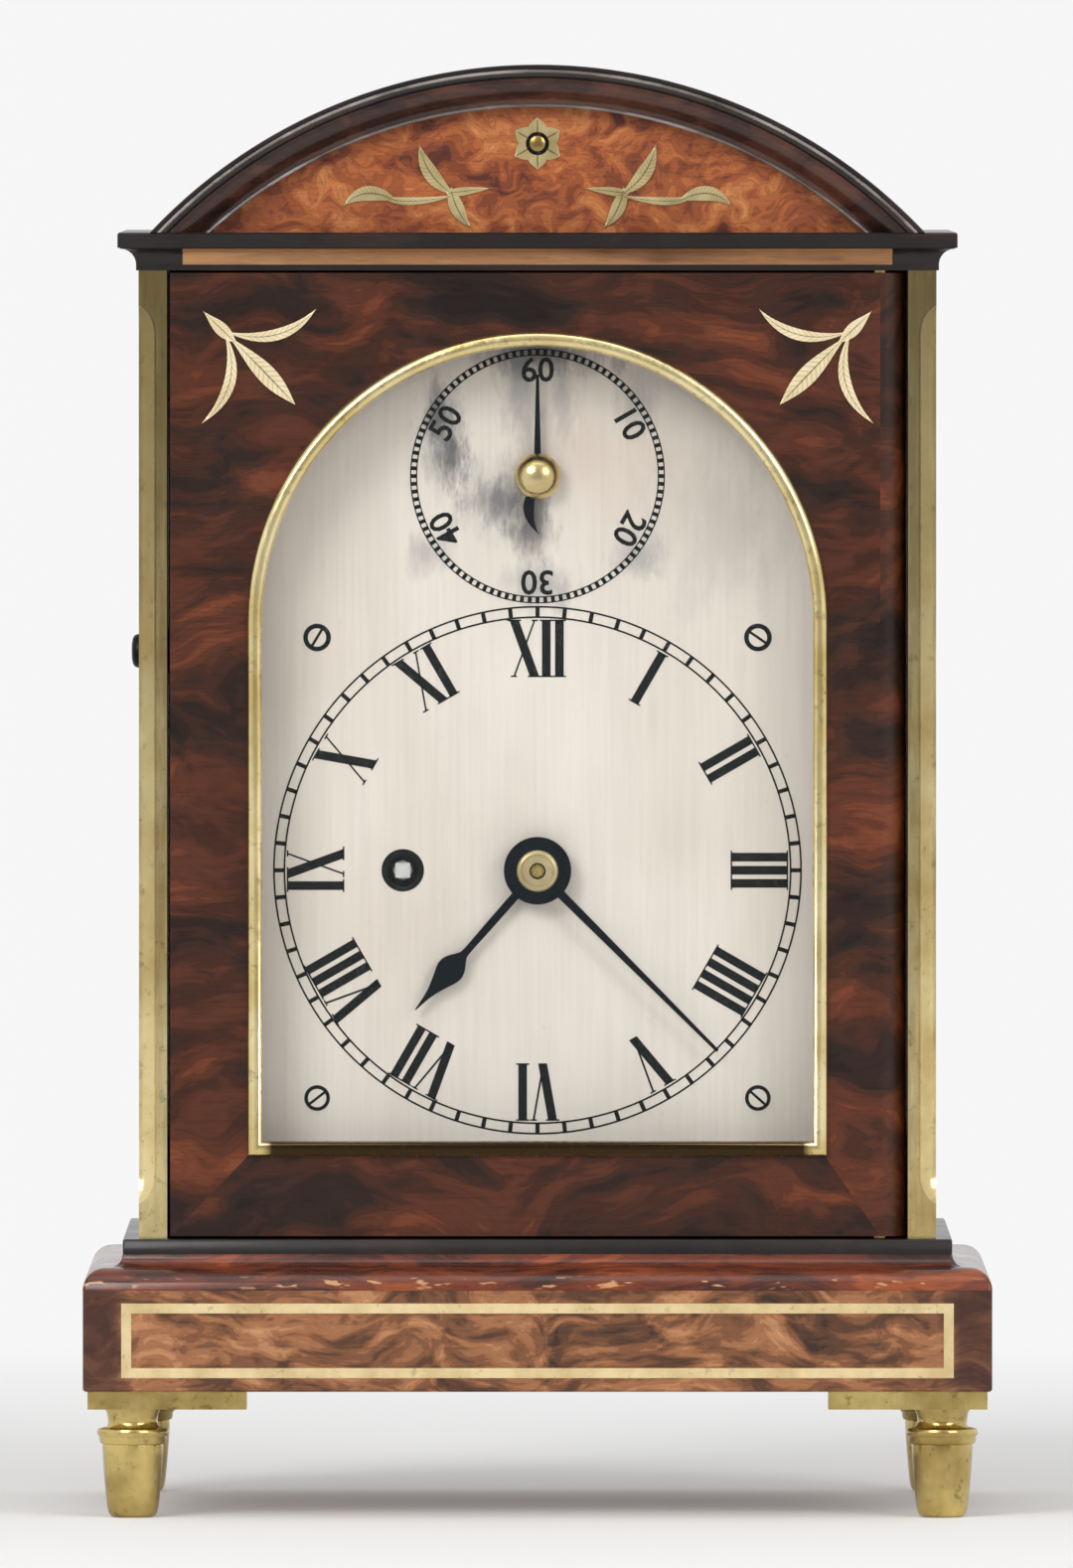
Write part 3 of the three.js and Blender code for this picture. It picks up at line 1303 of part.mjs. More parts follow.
function hourWheel() {
  const pitch = (motionDistance * hourTeeth) / (minuteLeaves + hourTeeth);
  const direction = THREE.MathUtils.degToRad(motionAngle);
  const wheel = slab(wheelOutline(hourTeeth, pitch, direction, 0, centreHeight), hourWheelFront, hourWheelBack);
  const bore = 2.4 + runningGap;
  const pipe = moved(
    turned([
      [bore, hourHandFront + 0.1], [3.5, hourHandFront + 0.1], [3.5, hourWheelBack], [bore, hourWheelBack],
      [bore, hourHandFront + 0.1],
    ], 10),
    0, 0, centreHeight);
  return cut(join(wheel, pipe), moved(rodOf(bore, hourHandFront - 1, hourWheelBack + 1, 10), 0, 0, centreHeight));
}

add("minute_wheel", minuteWheel(), "brass");
add("hour_wheel", hourWheel(), "brass");

// Turns a hand drawn pointing up about its own centre to its place on the dial, clockwise.
const handAt = (solid, degrees, z) => moved(solid.rotate([0, degrees, 0]), 0, 0, z);
const hourDegrees = (shownMinutes / 2) % 360;
const minuteDegrees = (shownMinutes * 6) % 360;
const handRing = (y0, y1, bore) => tubeOf(bore, handBossRadius, y0, y1, 16);

function hourHand() {
  const shaft = outline([
    [-0.75, handBossRadius - 0.6], [0.75, handBossRadius - 0.6], [0.95, hourHandLength * 0.6],
    [-0.95, hourHandLength * 0.6],
  ]);
  const blade = leaf([0, hourHandLength * 0.5], [0, hourHandLength * 0.8], [0, hourHandLength], 6.6, 0.42);
  const y = [hourHandFront, hourHandBack];
  const hand = join(handRing(...y, 3.55), slab(shaft, ...y), slab(blade, ...y));
  return handAt(hand, hourDegrees, centreHeight);
}

function minuteHand() {
  const shaft = outline([
    [-0.9, handBossRadius - 0.6], [0.9, handBossRadius - 0.6], [0.35, minuteHandLength], [-0.35, minuteHandLength],
  ]);
  const y = [minuteHandFront, minuteHandBack];
  return handAt(join(handRing(...y, arborRadius + runningGap), slab(shaft, ...y)), minuteDegrees, centreHeight);
}

add("hour_hand", hourHand(), "blued");
add("minute_hand", minuteHand(), "blued");

// Domed brass collar that holds the minute hand on its arbor.
const collar = turned([
  [arborRadius, minuteHandFront], [collarRadius, minuteHandFront], [collarRadius, minuteHandFront - 0.7],
  [collarRadius * 0.7, collarFront], [arborRadius, collarFront], [arborRadius, minuteHandFront],
], 12);
add("hand_collar", moved(cut(collar, rodOf(arborRadius * 0.75 + 0.2, collarFront - 1, minuteHandFront + 1)), 0, 0,
  centreHeight), "brass");

// Rise-and-fall hand: a needle with a curled tail, under a domed brass knob.
function regulationHand() {
  const y0 = dialFace - 2.6;
  const y1 = dialFace - 1.8;
  const size = regulationHandLength;
  const needle = outline([[-0.75, 2], [0.75, 2], [0.3, size], [-0.3, size]]);
  const tail = leaf([-0.02 * size, -2], [-0.166 * size, -0.341 * size], [0.01 * size, -0.566 * size], 2.2, 0.4);
  return moved(
    join(tubeOf(arborRadius + 0.05, 3.2, y0, y1, 12), slab(needle, y0, y1), slab(tail, y0, y1)), 0, 0,
    subDialHeight);
}

add("regulation_hand", regulationHand(), "blued");

const knobBack = dialFace - 2.65;
const knob = turned([
  [0, knobBack - 3.6], [regulationKnobRadius * 0.45, knobBack - 3.4], [regulationKnobRadius * 0.85, knobBack - 2.2],
  [regulationKnobRadius, knobBack - 0.8], [regulationKnobRadius * 0.9, knobBack],
  [arborRadius + 0.05, knobBack], [arborRadius + 0.05, dialFace - 3.45], [0, dialFace - 3.45],
], 12);
add("regulation_knob", moved(knob, 0, 0, subDialHeight), "brass");

// ================================================================ fusee, barrel and line

const drumBack = drumFront + fuseeLength;
const fuseePitch = fuseeLength / (fuseeTurns + 1);

// Radius of the fusee's cone at a depth, without its groove.
const coneRadius = (y) =>
  fuseeSmallRadius + (fuseeLargeRadius - fuseeSmallRadius) * ((y - drumFront) / fuseeLength) ** 0.75;

// Cone with a spiral groove, bored for the winding arbor.
function fusee() {
  const rowsPerTurn = 3;
  const rows = (fuseeTurns + 1) * rowsPerTurn;
  const rings = [];
  for (let row = 0; row <= rows; row++) {
    const y = drumFront + (fuseeLength * row) / rows;
    const plain = row === 0 || row === rows;
    rings.push(
      Array.from({ length: fuseeSides }, (_, k) => {
        const turn = (y - drumFront) / fuseePitch + k / fuseeSides;
        const depth = plain ? 0 : fuseeGroove * Math.sin(Math.PI * turn) ** 2;
        const radius = coneRadius(y) - depth;
        const angle = (2 * Math.PI * k) / fuseeSides;
        return [radius * Math.cos(angle), y, radius * Math.sin(angle)];
      }));
  }
  const cone = solidOf(stitched(rings, false));
  const bore = rodOf(windingArborRadius + 0.05, drumFront - 1, drumBack + 1);
  return moved(cut(cone, bore), -windingOffset, 0, centreHeight);
}

add("fusee", fusee(), "brass");

// Steel arbor of the fusee, with the winding square behind its hole in the dial.
function windingArbor() {
  const r = windingArborRadius;
  const arbor = turned([
    [0, dialBack + 1], [r, dialBack + 1], [r, backPlateFace - 0.3], [pivotRadius, backPlateFace - 0.3],
    [pivotRadius, backPlateBack - 0.4], [0, backPlateBack - 0.4],
  ], 8);
  const half = r * 0.75;
  const square = box(-half, half, dialFace - 0.6, dialBack + 1.5, -half, half);
  return moved(join(arbor, square), -windingOffset, 0, centreHeight);
}

add("winding_arbor", windingArbor(), "steel");

// Spring barrel: a closed drum that turns on its arbor, with a rim at each end.
function barrel() {
  const y0 = drumFront;
  const y1 = drumFront + barrelLength;
  const bore = windingArborRadius + runningGap;
  const r = barrelRadius;
  const drum = turned([
    [bore, y0], [r, y0], [r, y0 + barrelRim], [r - 0.4, y0 + barrelRim], [r - 0.4, y1 - barrelRim],
    [r, y1 - barrelRim], [r, y1], [bore, y1], [bore, y0],
  ], barrelFacets);
  return moved(drum, barrelOffset, 0, centreHeight);
}

add("barrel", barrel(), "brass");

// Barrel arbor with its set-up ratchet in front of the front plate.
function barrelArbor() {
  const r = windingArborRadius;
  const ratchetFront = frontPlateFace - 2.2;
  const root = ratchetRadius * 0.81;
  const ratchet = slab(
    toothed(ratchetTeeth, [[root, -0.45], [ratchetRadius, 0.35], [root, 0.45]], 0, 0, 0),
    ratchetFront, ratchetFront + wheelThickness);
  const arbor = turned([
    [0, ratchetFront - 2], [r * 0.8, ratchetFront - 2], [r * 0.8, ratchetFront], [r, ratchetFront],
    [r, backPlateFace - 0.3], [pivotRadius, backPlateFace - 0.3], [pivotRadius, backPlateBack - 0.4],
    [0, backPlateBack - 0.4],
  ], 8);
  return moved(join(arbor, ratchet), barrelOffset, 0, centreHeight);
}

add("barrel_arbor", barrelArbor(), "steel");

// Gut line, half wound: turns on the fusee, one straight run below the centre, and turns on the barrel.
// Its flats stay clear of both drums as these turn.
function gutLine() {
  const turnsOnBarrel = 2;
  const turnsOnFusee = 3;
  const startY = drumFront + fuseeLength * 0.5;
  const track = (radius) => (radius + lineRadius + lineGap) / Math.cos(Math.PI / fuseeSides);
  const place = (x, y, radius, quarterTurns, k) => {
    const angle = (quarterTurns * Math.PI) / 2 + (2 * Math.PI * k) / fuseeSides;
    return [x + radius * Math.cos(angle), y, centreHeight + radius * Math.sin(angle)];
  };
  const points = [];
  for (let k = -turnsOnFusee * fuseeSides; k <= 0; k++) {
    const y = startY - (fuseePitch * k) / fuseeSides;
    points.push(place(-windingOffset, y, track(coneRadius(y + lineRadius)), -1, k));
  }
  for (let k = 0; k <= turnsOnBarrel * fuseeSides; k++) {
    const y = startY - (2 * lineRadius + lineGap) * (k / fuseeSides);
    points.push(place(barrelOffset, y, track(barrelRadius), -1, k));
  }
  return roundLine(points, lineRadius, 4);
}

// A round line through the given points, one ring of the section at each.
function roundLine(points, radius, sides) {
  const at = points.map((p) => new THREE.Vector3(...p));
  const rings = at.map((p, i) => {
    const into = p.clone().sub(at[Math.max(0, i - 1)]).normalize();
    const outof = at[Math.min(at.length - 1, i + 1)].clone().sub(p).normalize();
    const along = into.add(outof).normalize();
    const across = new THREE.Vector3(0, 1, 0).cross(along).normalize();
    const over = along.clone().cross(across);
    return Array.from({ length: sides }, (_, k) => {
      const angle = (2 * Math.PI * k) / sides;
      return p.clone()
        .addScaledVector(across, radius * Math.cos(angle))
        .addScaledVector(over, radius * Math.sin(angle))
        .toArray();
    });
  });
  return solidOf(stitched(rings, false));
}

add("gut_line", gutLine(), "gut");

export default clock;
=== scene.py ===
# A bracket clock of about 1820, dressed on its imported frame.
# Shapes are drawn in millimetres and become metres when their mesh is made.
import json
from math import asin, atan, cos, hypot, log, pi, radians, sin, sqrt

import bmesh
import bpy
from mathutils import Euler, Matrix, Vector
from mathutils.geometry import tessellate_polygon


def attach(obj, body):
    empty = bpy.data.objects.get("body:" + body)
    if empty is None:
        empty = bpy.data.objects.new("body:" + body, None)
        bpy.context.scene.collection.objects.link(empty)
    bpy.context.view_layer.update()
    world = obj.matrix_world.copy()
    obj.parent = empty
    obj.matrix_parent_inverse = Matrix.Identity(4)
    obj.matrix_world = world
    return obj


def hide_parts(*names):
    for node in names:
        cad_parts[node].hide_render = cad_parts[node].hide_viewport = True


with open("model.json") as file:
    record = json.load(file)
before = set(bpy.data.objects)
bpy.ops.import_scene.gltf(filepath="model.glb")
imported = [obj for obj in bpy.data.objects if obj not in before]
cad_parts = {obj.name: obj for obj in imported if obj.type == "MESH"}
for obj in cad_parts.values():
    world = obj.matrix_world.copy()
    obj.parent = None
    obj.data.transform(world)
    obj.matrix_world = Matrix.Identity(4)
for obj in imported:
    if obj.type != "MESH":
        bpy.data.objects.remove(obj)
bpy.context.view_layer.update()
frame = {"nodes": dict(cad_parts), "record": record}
nodes = frame["nodes"]
print("frame loaded,", len(nodes), "nodes")

# sizes that several pieces share
case = {
    "halfWidth": 80, "halfDepth": 52.5, "bottom": 56, "top": 251, "front": -52.5,
    "cornice": 258.6, "roofRadius": 106.9, "roofCentre": 185.5,
    "plinthHalfWidth": 91.5, "plinthHalfDepth": 64, "hands": 129.8, "subDial": 209.385,
}
bothSides = ((-1, "left"), (1, "right"))


# meshes

def inScene(name, data):
    made = bpy.data.objects.new(name, data)
    bpy.context.scene.collection.objects.link(made)
    return made


def evaluatedMesh(holder):
    # the mesh that an object comes to, and the object itself goes
    view = bpy.context.evaluated_depsgraph_get()
    mesh = bpy.data.meshes.new_from_object(holder.evaluated_get(view), depsgraph=view)
    bpy.data.objects.remove(holder)
    return mesh


def meshObject(name, points, faces, uvs=None):
    mesh = bpy.data.meshes.new(name)
    mesh.from_pydata([(x / 1000, y / 1000, z / 1000) for x, y, z in points], [], faces)
    if uvs:
        layer = mesh.uv_layers.new(name="UVMap")
        for loop in mesh.loops:
            layer.data[loop.index].uv = uvs[loop.vertex_index]
    return inScene(name, mesh)


def joined(*parts):
    points, faces = [], []
    for partPoints, partFaces in parts:
        start = len(points)
        points += partPoints
        faces += [tuple(i + start for i in face) for face in partFaces]
    return points, faces


# places a flat outline (a, b) at a depth d
def onFront(a, b, d):
    return (a, d, b)


def onTop(a, b, d):
    return (a, b, d)


def onSide(a, b, d):
    return (d, a, b)


def plate(loops, near, far, place=onFront):
    # first loop is the outline, the others are holes
    flat = [p for loop in loops for p in loop]
    count = len(flat)
    points = [place(a, b, near) for a, b in flat] + [place(a, b, far) for a, b in flat]
    faces = []
    for i, j, k in tessellate_polygon([[Vector((a, b, 0)) for a, b in loop] for loop in loops]):
        faces += [(i, j, k), (k + count, j + count, i + count)]
    start = 0
    for loop in loops:
        for i in range(len(loop)):
            j = (i + 1) % len(loop)
            faces.append((start + i, start + j, start + j + count, start + i + count))
        start += len(loop)
    return points, faces


def loft(rings, closed=False):
    # rings of points with the same count, each a closed loop
    sides = len(rings[0])
    points = [p for ring in rings for p in ring]
    faces = []
    for i in range(len(rings) if closed else len(rings) - 1):
        one, two = i * sides, ((i + 1) % len(rings)) * sides
        for k in range(sides):
            n = (k + 1) % sides
            faces.append((one + k, one + n, two + n, two + k))
    if not closed:
        for start, ring in ((0, rings[0]), ((len(rings) - 1) * sides, rings[-1])):
            for tri in tessellate_polygon([[Vector(p) for p in ring]]):
                faces.append(tuple(start + i for i in tri))
    return points, faces


def lathe(profile, sides, x=0, y=0, z=0, axis="y"):
    # profile of (radius, height along the axis)
    rings = []
    for r, h in profile:
        ring = []
        for k in range(sides):
            a = 2 * pi * k / sides
            c, s = r * cos(a), r * sin(a)
            ring.append({"x": (x + h, y + c, z + s), "y": (x + c, y + h, z + s),
                         "z": (x + c, y + s, z + h)}[axis])
        rings.append(ring)
    return loft(rings, closed=profile[0][0] > 0 and profile[-1][0] > 0)


def onRoof(radius, share):
    # a place (x, z) on the roof's arch, which starts and ends level on the cornice
    start = asin((case["cornice"] - case["roofCentre"]) / radius)
    angle = start + (pi - 2 * start) * share
    return radius * cos(angle), case["roofCentre"] + radius * sin(angle)


def archSweep(section, steps):
    # runs a closed section of (radius, y) over the roof's arch
    rings = []
    for i in range(steps + 1):
        places = [(onRoof(r, i / steps), y) for r, y in section]
        rings.append([(x, y, z) for (x, z), y in places])
    return loft(rings)


def mitred(path, section):
    # runs a closed section of (out, y) round a closed path of (x, z), with mitred corners
    rings = []
    count = len(path)
    for i, (x, z) in enumerate(path):
        x0, z0 = path[i - 1]
        x1, z1 = path[(i + 1) % count]
        into = Vector((x - x0, z - z0)).normalized()
        outOf = Vector((x1 - x, z1 - z)).normalized()
        normal = Vector((into.y + outOf.y, -into.x - outOf.x)).normalized()
        stretch = 1 / max(0.3, normal.dot(Vector((into.y, -into.x))))
        rings.append([(x + normal.x * out * stretch, y, z + normal.y * out * stretch) for out, y in section])
    return loft(rings, closed=True)


def levels(profile, halfWidth, halfDepth, corner=0, cornerSteps=3):
    # a block whose sides follow (out, z), with its upright corners rounded
    rings = []
    for out, z in profile:
        w, d = halfWidth + out, halfDepth + out
        r = max(0.02, corner)
        ring = []
        for sx, sy, first in ((1, 1, 0), (-1, 1, 90), (-1, -1, 180), (1, -1, 270)):
            for k in range(cornerSteps + 1):
                a = radians(first + 90 * k / cornerSteps)
                ring.append((sx * (w - r) + r * cos(a), sy * (d - r) + r * sin(a), z))
        rings.append(ring)
    return loft(rings)


# outlines

def rectangle(a0, a1, b0, b1):
    return [(a0, b0), (a1, b0), (a1, b1), (a0, b1)]


def circle(a, b, radius, sides=32):
    return [(a + radius * cos(2 * pi * k / sides), b + radius * sin(2 * pi * k / sides))
            for k in range(sides)]


def arch(halfWidth, bottom, spring, steps=48):
    head = [(halfWidth * cos(pi * k / steps), spring + halfWidth * sin(pi * k / steps))
            for k in range(steps + 1)]
    return [(-halfWidth, bottom), (halfWidth, bottom)] + head


def smoothLine(points, steps=8):
    # a soft curve through the points
    line = []
    for i in range(len(points) - 1):
        p0, p1 = points[max(0, i - 1)], points[i]
        p2, p3 = points[i + 1], points[min(len(points) - 1, i + 2)]
        for k in range(steps):
            t = k / steps
            line.append(tuple(
                0.5 * (2 * b + (c - a) * t + (2 * a - 5 * b + 4 * c - d) * t * t
                       + (3 * b - a - 3 * c + d) * t ** 3)
                for a, b, c, d in zip(p0, p1, p2, p3)))
    return line + [tuple(points[-1])]


def tidyMesh(made):
    work = bmesh.new()
    work.from_mesh(made.data)
    bmesh.ops.remove_doubles(work, verts=work.verts, dist=1e-6)
    bmesh.ops.recalc_face_normals(work, faces=work.faces)
    work.to_mesh(made.data)
    work.free()


def ridden(made, body, stands=(), sharp=35):
    made.data.shade_smooth()
    made.data.set_sharp_from_angle(angle=radians(sharp))
    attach(made, body)
    if stands:
        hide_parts(*stands)
    return made


def finish(name, shape, body, material, stands=(), sharp=35, bevel=0, uvs=None):
    made = meshObject(name, *shape, uvs)
    tidyMesh(made)
    if isinstance(material, dict):
        # one finish for each stretch of the piece, by where a face lies
        for each in material["finishes"]:
            made.data.materials.append(each)
        for face in made.data.polygons:
            face.material_index = material["choose"](face.center * 1000)
    else:
        made.data.materials.append(material)
    if bevel:
        softener = made.modifiers.new("soft edges", "BEVEL")
        softener.width = bevel / 1000
        softener.segments = 2
        softener.limit_method = "ANGLE"
        softener.angle_limit = radians(50)
        softener.use_clamp_overlap = True
    return ridden(made, body, stands, sharp)


# materials

def paint(red, green, blue):
    # a colour as it is seen, for a socket
    def light(value):
        value /= 255
        return value / 12.92 if value <= 0.04045 else ((value + 0.055) / 1.055) ** 2.4
    return (light(red), light(green), light(blue), 1)


def plug(tree, socket, value):
    # a value is another node's socket or a plain number, place or colour
    if isinstance(value, bpy.types.NodeSocket):
        tree.links.new(value, socket)
    else:
        socket.default_value = value


def addNode(tree, kind, inputs=None, **settings):
    made = tree.nodes.new(kind)
    for key, value in settings.items():
        setattr(made, key, value)
    for key, value in (inputs or {}).items():
        plug(tree, made.inputs[key], value)
    return made


def newMaterial(name, **values):
    made = bpy.data.materials.new(name)
    made.use_nodes = True
    shader = made.node_tree.nodes["Principled BSDF"]
    for key, value in values.items():
        shader.inputs[key.replace("_", " ")].default_value = value
    return made, made.node_tree, shader


def noise(tree, vector, scale, detail=4, roughness=0.55, distortion=0):
    return addNode(tree, "ShaderNodeTexNoise", {
        "Vector": vector, "Scale": scale, "Detail": detail, "Roughness": roughness, "Distortion": distortion,
    }).outputs["Fac"]


def stretched(tree, vector, scale, turn=(0, 0, 0)):
    return addNode(tree, "ShaderNodeMapping", {
        "Vector": vector, "Scale": scale, "Rotation": tuple(radians(a) for a in turn),
    }).outputs["Vector"]


def ramp(tree, factor, stops):
    made = addNode(tree, "ShaderNodeValToRGB", {"Fac": factor})
    elements = made.color_ramp.elements
    while len(elements) < len(stops):
        elements.new(0.5)
    for element, (place, colour) in zip(elements, stops):
        element.position = place
        element.color = colour if isinstance(colour, tuple) else (colour, colour, colour, 1)
    return made.outputs["Color"]


def mixed(tree, factor, one, two, blend="MIX"):
    # the sockets of a mix of colours have the places 0, 6 and 7, and its outcome the place 2
    return addNode(
        tree, "ShaderNodeMix", {0: factor, 6: one, 7: two}, data_type="RGBA", blend_type=blend).outputs[2]


def calculated(tree, operation, one, two=0.0):
    return addNode(tree, "ShaderNodeMath", {0: one, 1: two}, operation=operation).outputs[0]


def times(tree, one, two):
    return calculated(tree, "MULTIPLY", one, two)


def axisOf(tree, place, letter):
    return addNode(tree, "ShaderNodeSeparateXYZ", {0: place}).outputs[letter]


def dress(tree, shader, colour, roughness):
    plug(tree, shader.inputs["Base Color"], colour)
    plug(tree, shader.inputs["Roughness"], roughness)


def bumpFrom(tree, shader, height, strength, distance=0.0002):
    bump = addNode(tree, "ShaderNodeBump", {"Height": height, "Strength": strength, "Distance": distance})
    tree.links.new(bump.outputs["Normal"], shader.inputs["Normal"])


def objectPlace(tree):
    return addNode(tree, "ShaderNodeTexCoord").outputs["Object"]


def graded(stops, share=1):
    # stops of (place, red, green, blue) as they are seen, all dimmed alike
    return [(place, tuple(value * share for value in paint(*seen)[:3]) + (1,)) for place, *seen in stops]


def woodMaterial(name, look, share=1):
    made, tree, shader = newMaterial(
        name, Specular_IOR_Level=look.get("gloss", 0.3), Coat_Weight=look.get("polish", 0.12),
        Coat_Roughness=0.1)
    place = objectPlace(tree)
    # the figure wanders, so its place is pushed about before the grain is drawn out along the wood
    drift = addNode(tree, "ShaderNodeTexNoise", {"Vector": place, "Scale": look["driftScale"], "Detail": 2})
    centred = addNode(
        tree, "ShaderNodeVectorMath", {0: drift.outputs["Color"], 1: (0.5, 0.5, 0.5)}, operation="SUBTRACT")
    push = addNode(
        tree, "ShaderNodeVectorMath", {0: centred.outputs[0], "Scale": look["drift"]}, operation="SCALE")
    bent = addNode(tree, "ShaderNodeVectorMath", {0: place, 1: push.outputs[0]}, operation="ADD").outputs[0]
    figure = noise(tree, stretched(tree, bent, (look["draw"], 1, 1), look["turn"]), look["figureScale"], 4,
                   0.6, 0.4)
    clouds = noise(tree, stretched(tree, bent, (0.55, 1, 1), look["turn"]), look["cloudScale"], 3, 0.5, 0.8)
    cloudShare = look.get("cloudShare", 0.35)
    tone = calculated(tree, "ADD", times(tree, figure, 1 - cloudShare), times(tree, clouds, cloudShare))
    colour = ramp(tree, tone, graded(look["colours"], share))
    # contour lines of the figure make the dark grain lines
    rings = calculated(tree, "PINGPONG", times(tree, tone, look["lines"]), 0.5)
    colour = mixed(tree, look["lineDepth"], colour, ramp(tree, rings, [(0.0, 0.25), (0.22, 1.0)]), "MULTIPLY")
    pores = noise(tree, stretched(tree, place, (0.05, 1, 1), look["turn"]), 2600, 2, 0.6)
    colour = mixed(tree, 0.4, colour, ramp(tree, pores, [(0.36, 0.55), (0.46, 1.0)]), "MULTIPLY")
    for zone in look.get("zones", ()):
        colour = zone(tree, place, colour)
    rubbed = ramp(tree, noise(tree, place, 90, 3), [(0.3, look["smooth"]), (0.7, look["smooth"] + 0.12)])
    dress(tree, shader, colour, rubbed)
    bumpFrom(tree, shader, pores, 0.12, 0.00008)
    return made


def darkEnds(tree, place, colour):
    # darker towards both ends, outside the brass lines of the plinth
    across = times(tree, calculated(tree, "ABSOLUTE", axisOf(tree, place, "X")), 10)
    return mixed(tree, ramp(tree, across, [(0.815, 0.0), (0.85, 0.75)]), colour, paint(58, 30, 24))


def paleFlecksOnRound(tree, place, colour):
    # small pale flecks along the lower edge of the round
    height = times(tree, axisOf(tree, place, "Z"), 10)
    near = ramp(tree, height, [(0.461, 0.0), (0.468, 1.0), (0.482, 1.0), (0.489, 0.0)])
    spots = ramp(tree, noise(tree, stretched(tree, place, (0.3, 1, 1)), 520, 2, 0.7),
                 [(0.6, 0.0), (0.66, 0.8)])
    mask = mixed(tree, 1.0, near, spots, "MULTIPLY")
    return mixed(tree, mask, colour, paint(206, 160, 112))


def brassMaterial(name, look):
    made, tree, shader = newMaterial(name, Metallic=look.get("metal", 1.0))
    place = objectPlace(tree)
    cloud = noise(tree, place, look.get("cloudScale", 45), 4, 0.6)
    patches = ramp(tree, cloud, [(0.38, 0.0), (0.66, 1.0)])
    colour = mixed(tree, patches, paint(*look["bright"]), paint(*look["dull"]))
    spots = ramp(tree, noise(tree, place, 420, 3, 0.7), [(0.3, look.get("spots", 0.45)), (0.42, 1.0)])
    colour = mixed(tree, 0.6, colour, spots, "MULTIPLY")
    for zone in look.get("zones", ()):
        colour = zone(tree, place, colour)
    rubbed = noise(tree, stretched(tree, place, look.get("rub", (1, 1, 0.1))), 900, 2)
    dress(tree, shader, colour, ramp(tree, rubbed, [(0.3, look["smooth"]), (0.7, look["smooth"] + 0.16)]))
    bumpFrom(tree, shader, rubbed, look.get("bump", 0.06), 0.00005)
    return made


def darkerTowardsCornice(tree, place, colour):
    # the corner strips darken towards the cornice
    share = ramp(tree, times(tree, axisOf(tree, place, "Z"), 4), [(0.3, 0.0), (0.75, 0.6), (0.98, 0.85)])
    return mixed(tree, share, colour, paint(122, 106, 70))


def paintedShadeOnBezelBar(tree, place, colour):
    # painted shade and dark reflection on the bottom bar of the bezel, between its mitred ends
    height = times(tree, axisOf(tree, place, "Z"), 10)
    low = ramp(tree, height, [(0.7265, 0.0), (0.73, 1.0), (0.76, 1.0), (0.765, 0.0)])
    across = times(tree, calculated(tree, "ABSOLUTE", axisOf(tree, place, "X")), 10)
    mask = mixed(tree, 1.0, low, ramp(tree, across, [(0.535, 1.0), (0.555, 0.0)]), "MULTIPLY")
    return mixed(tree, mask, colour, paint(62, 48, 31))


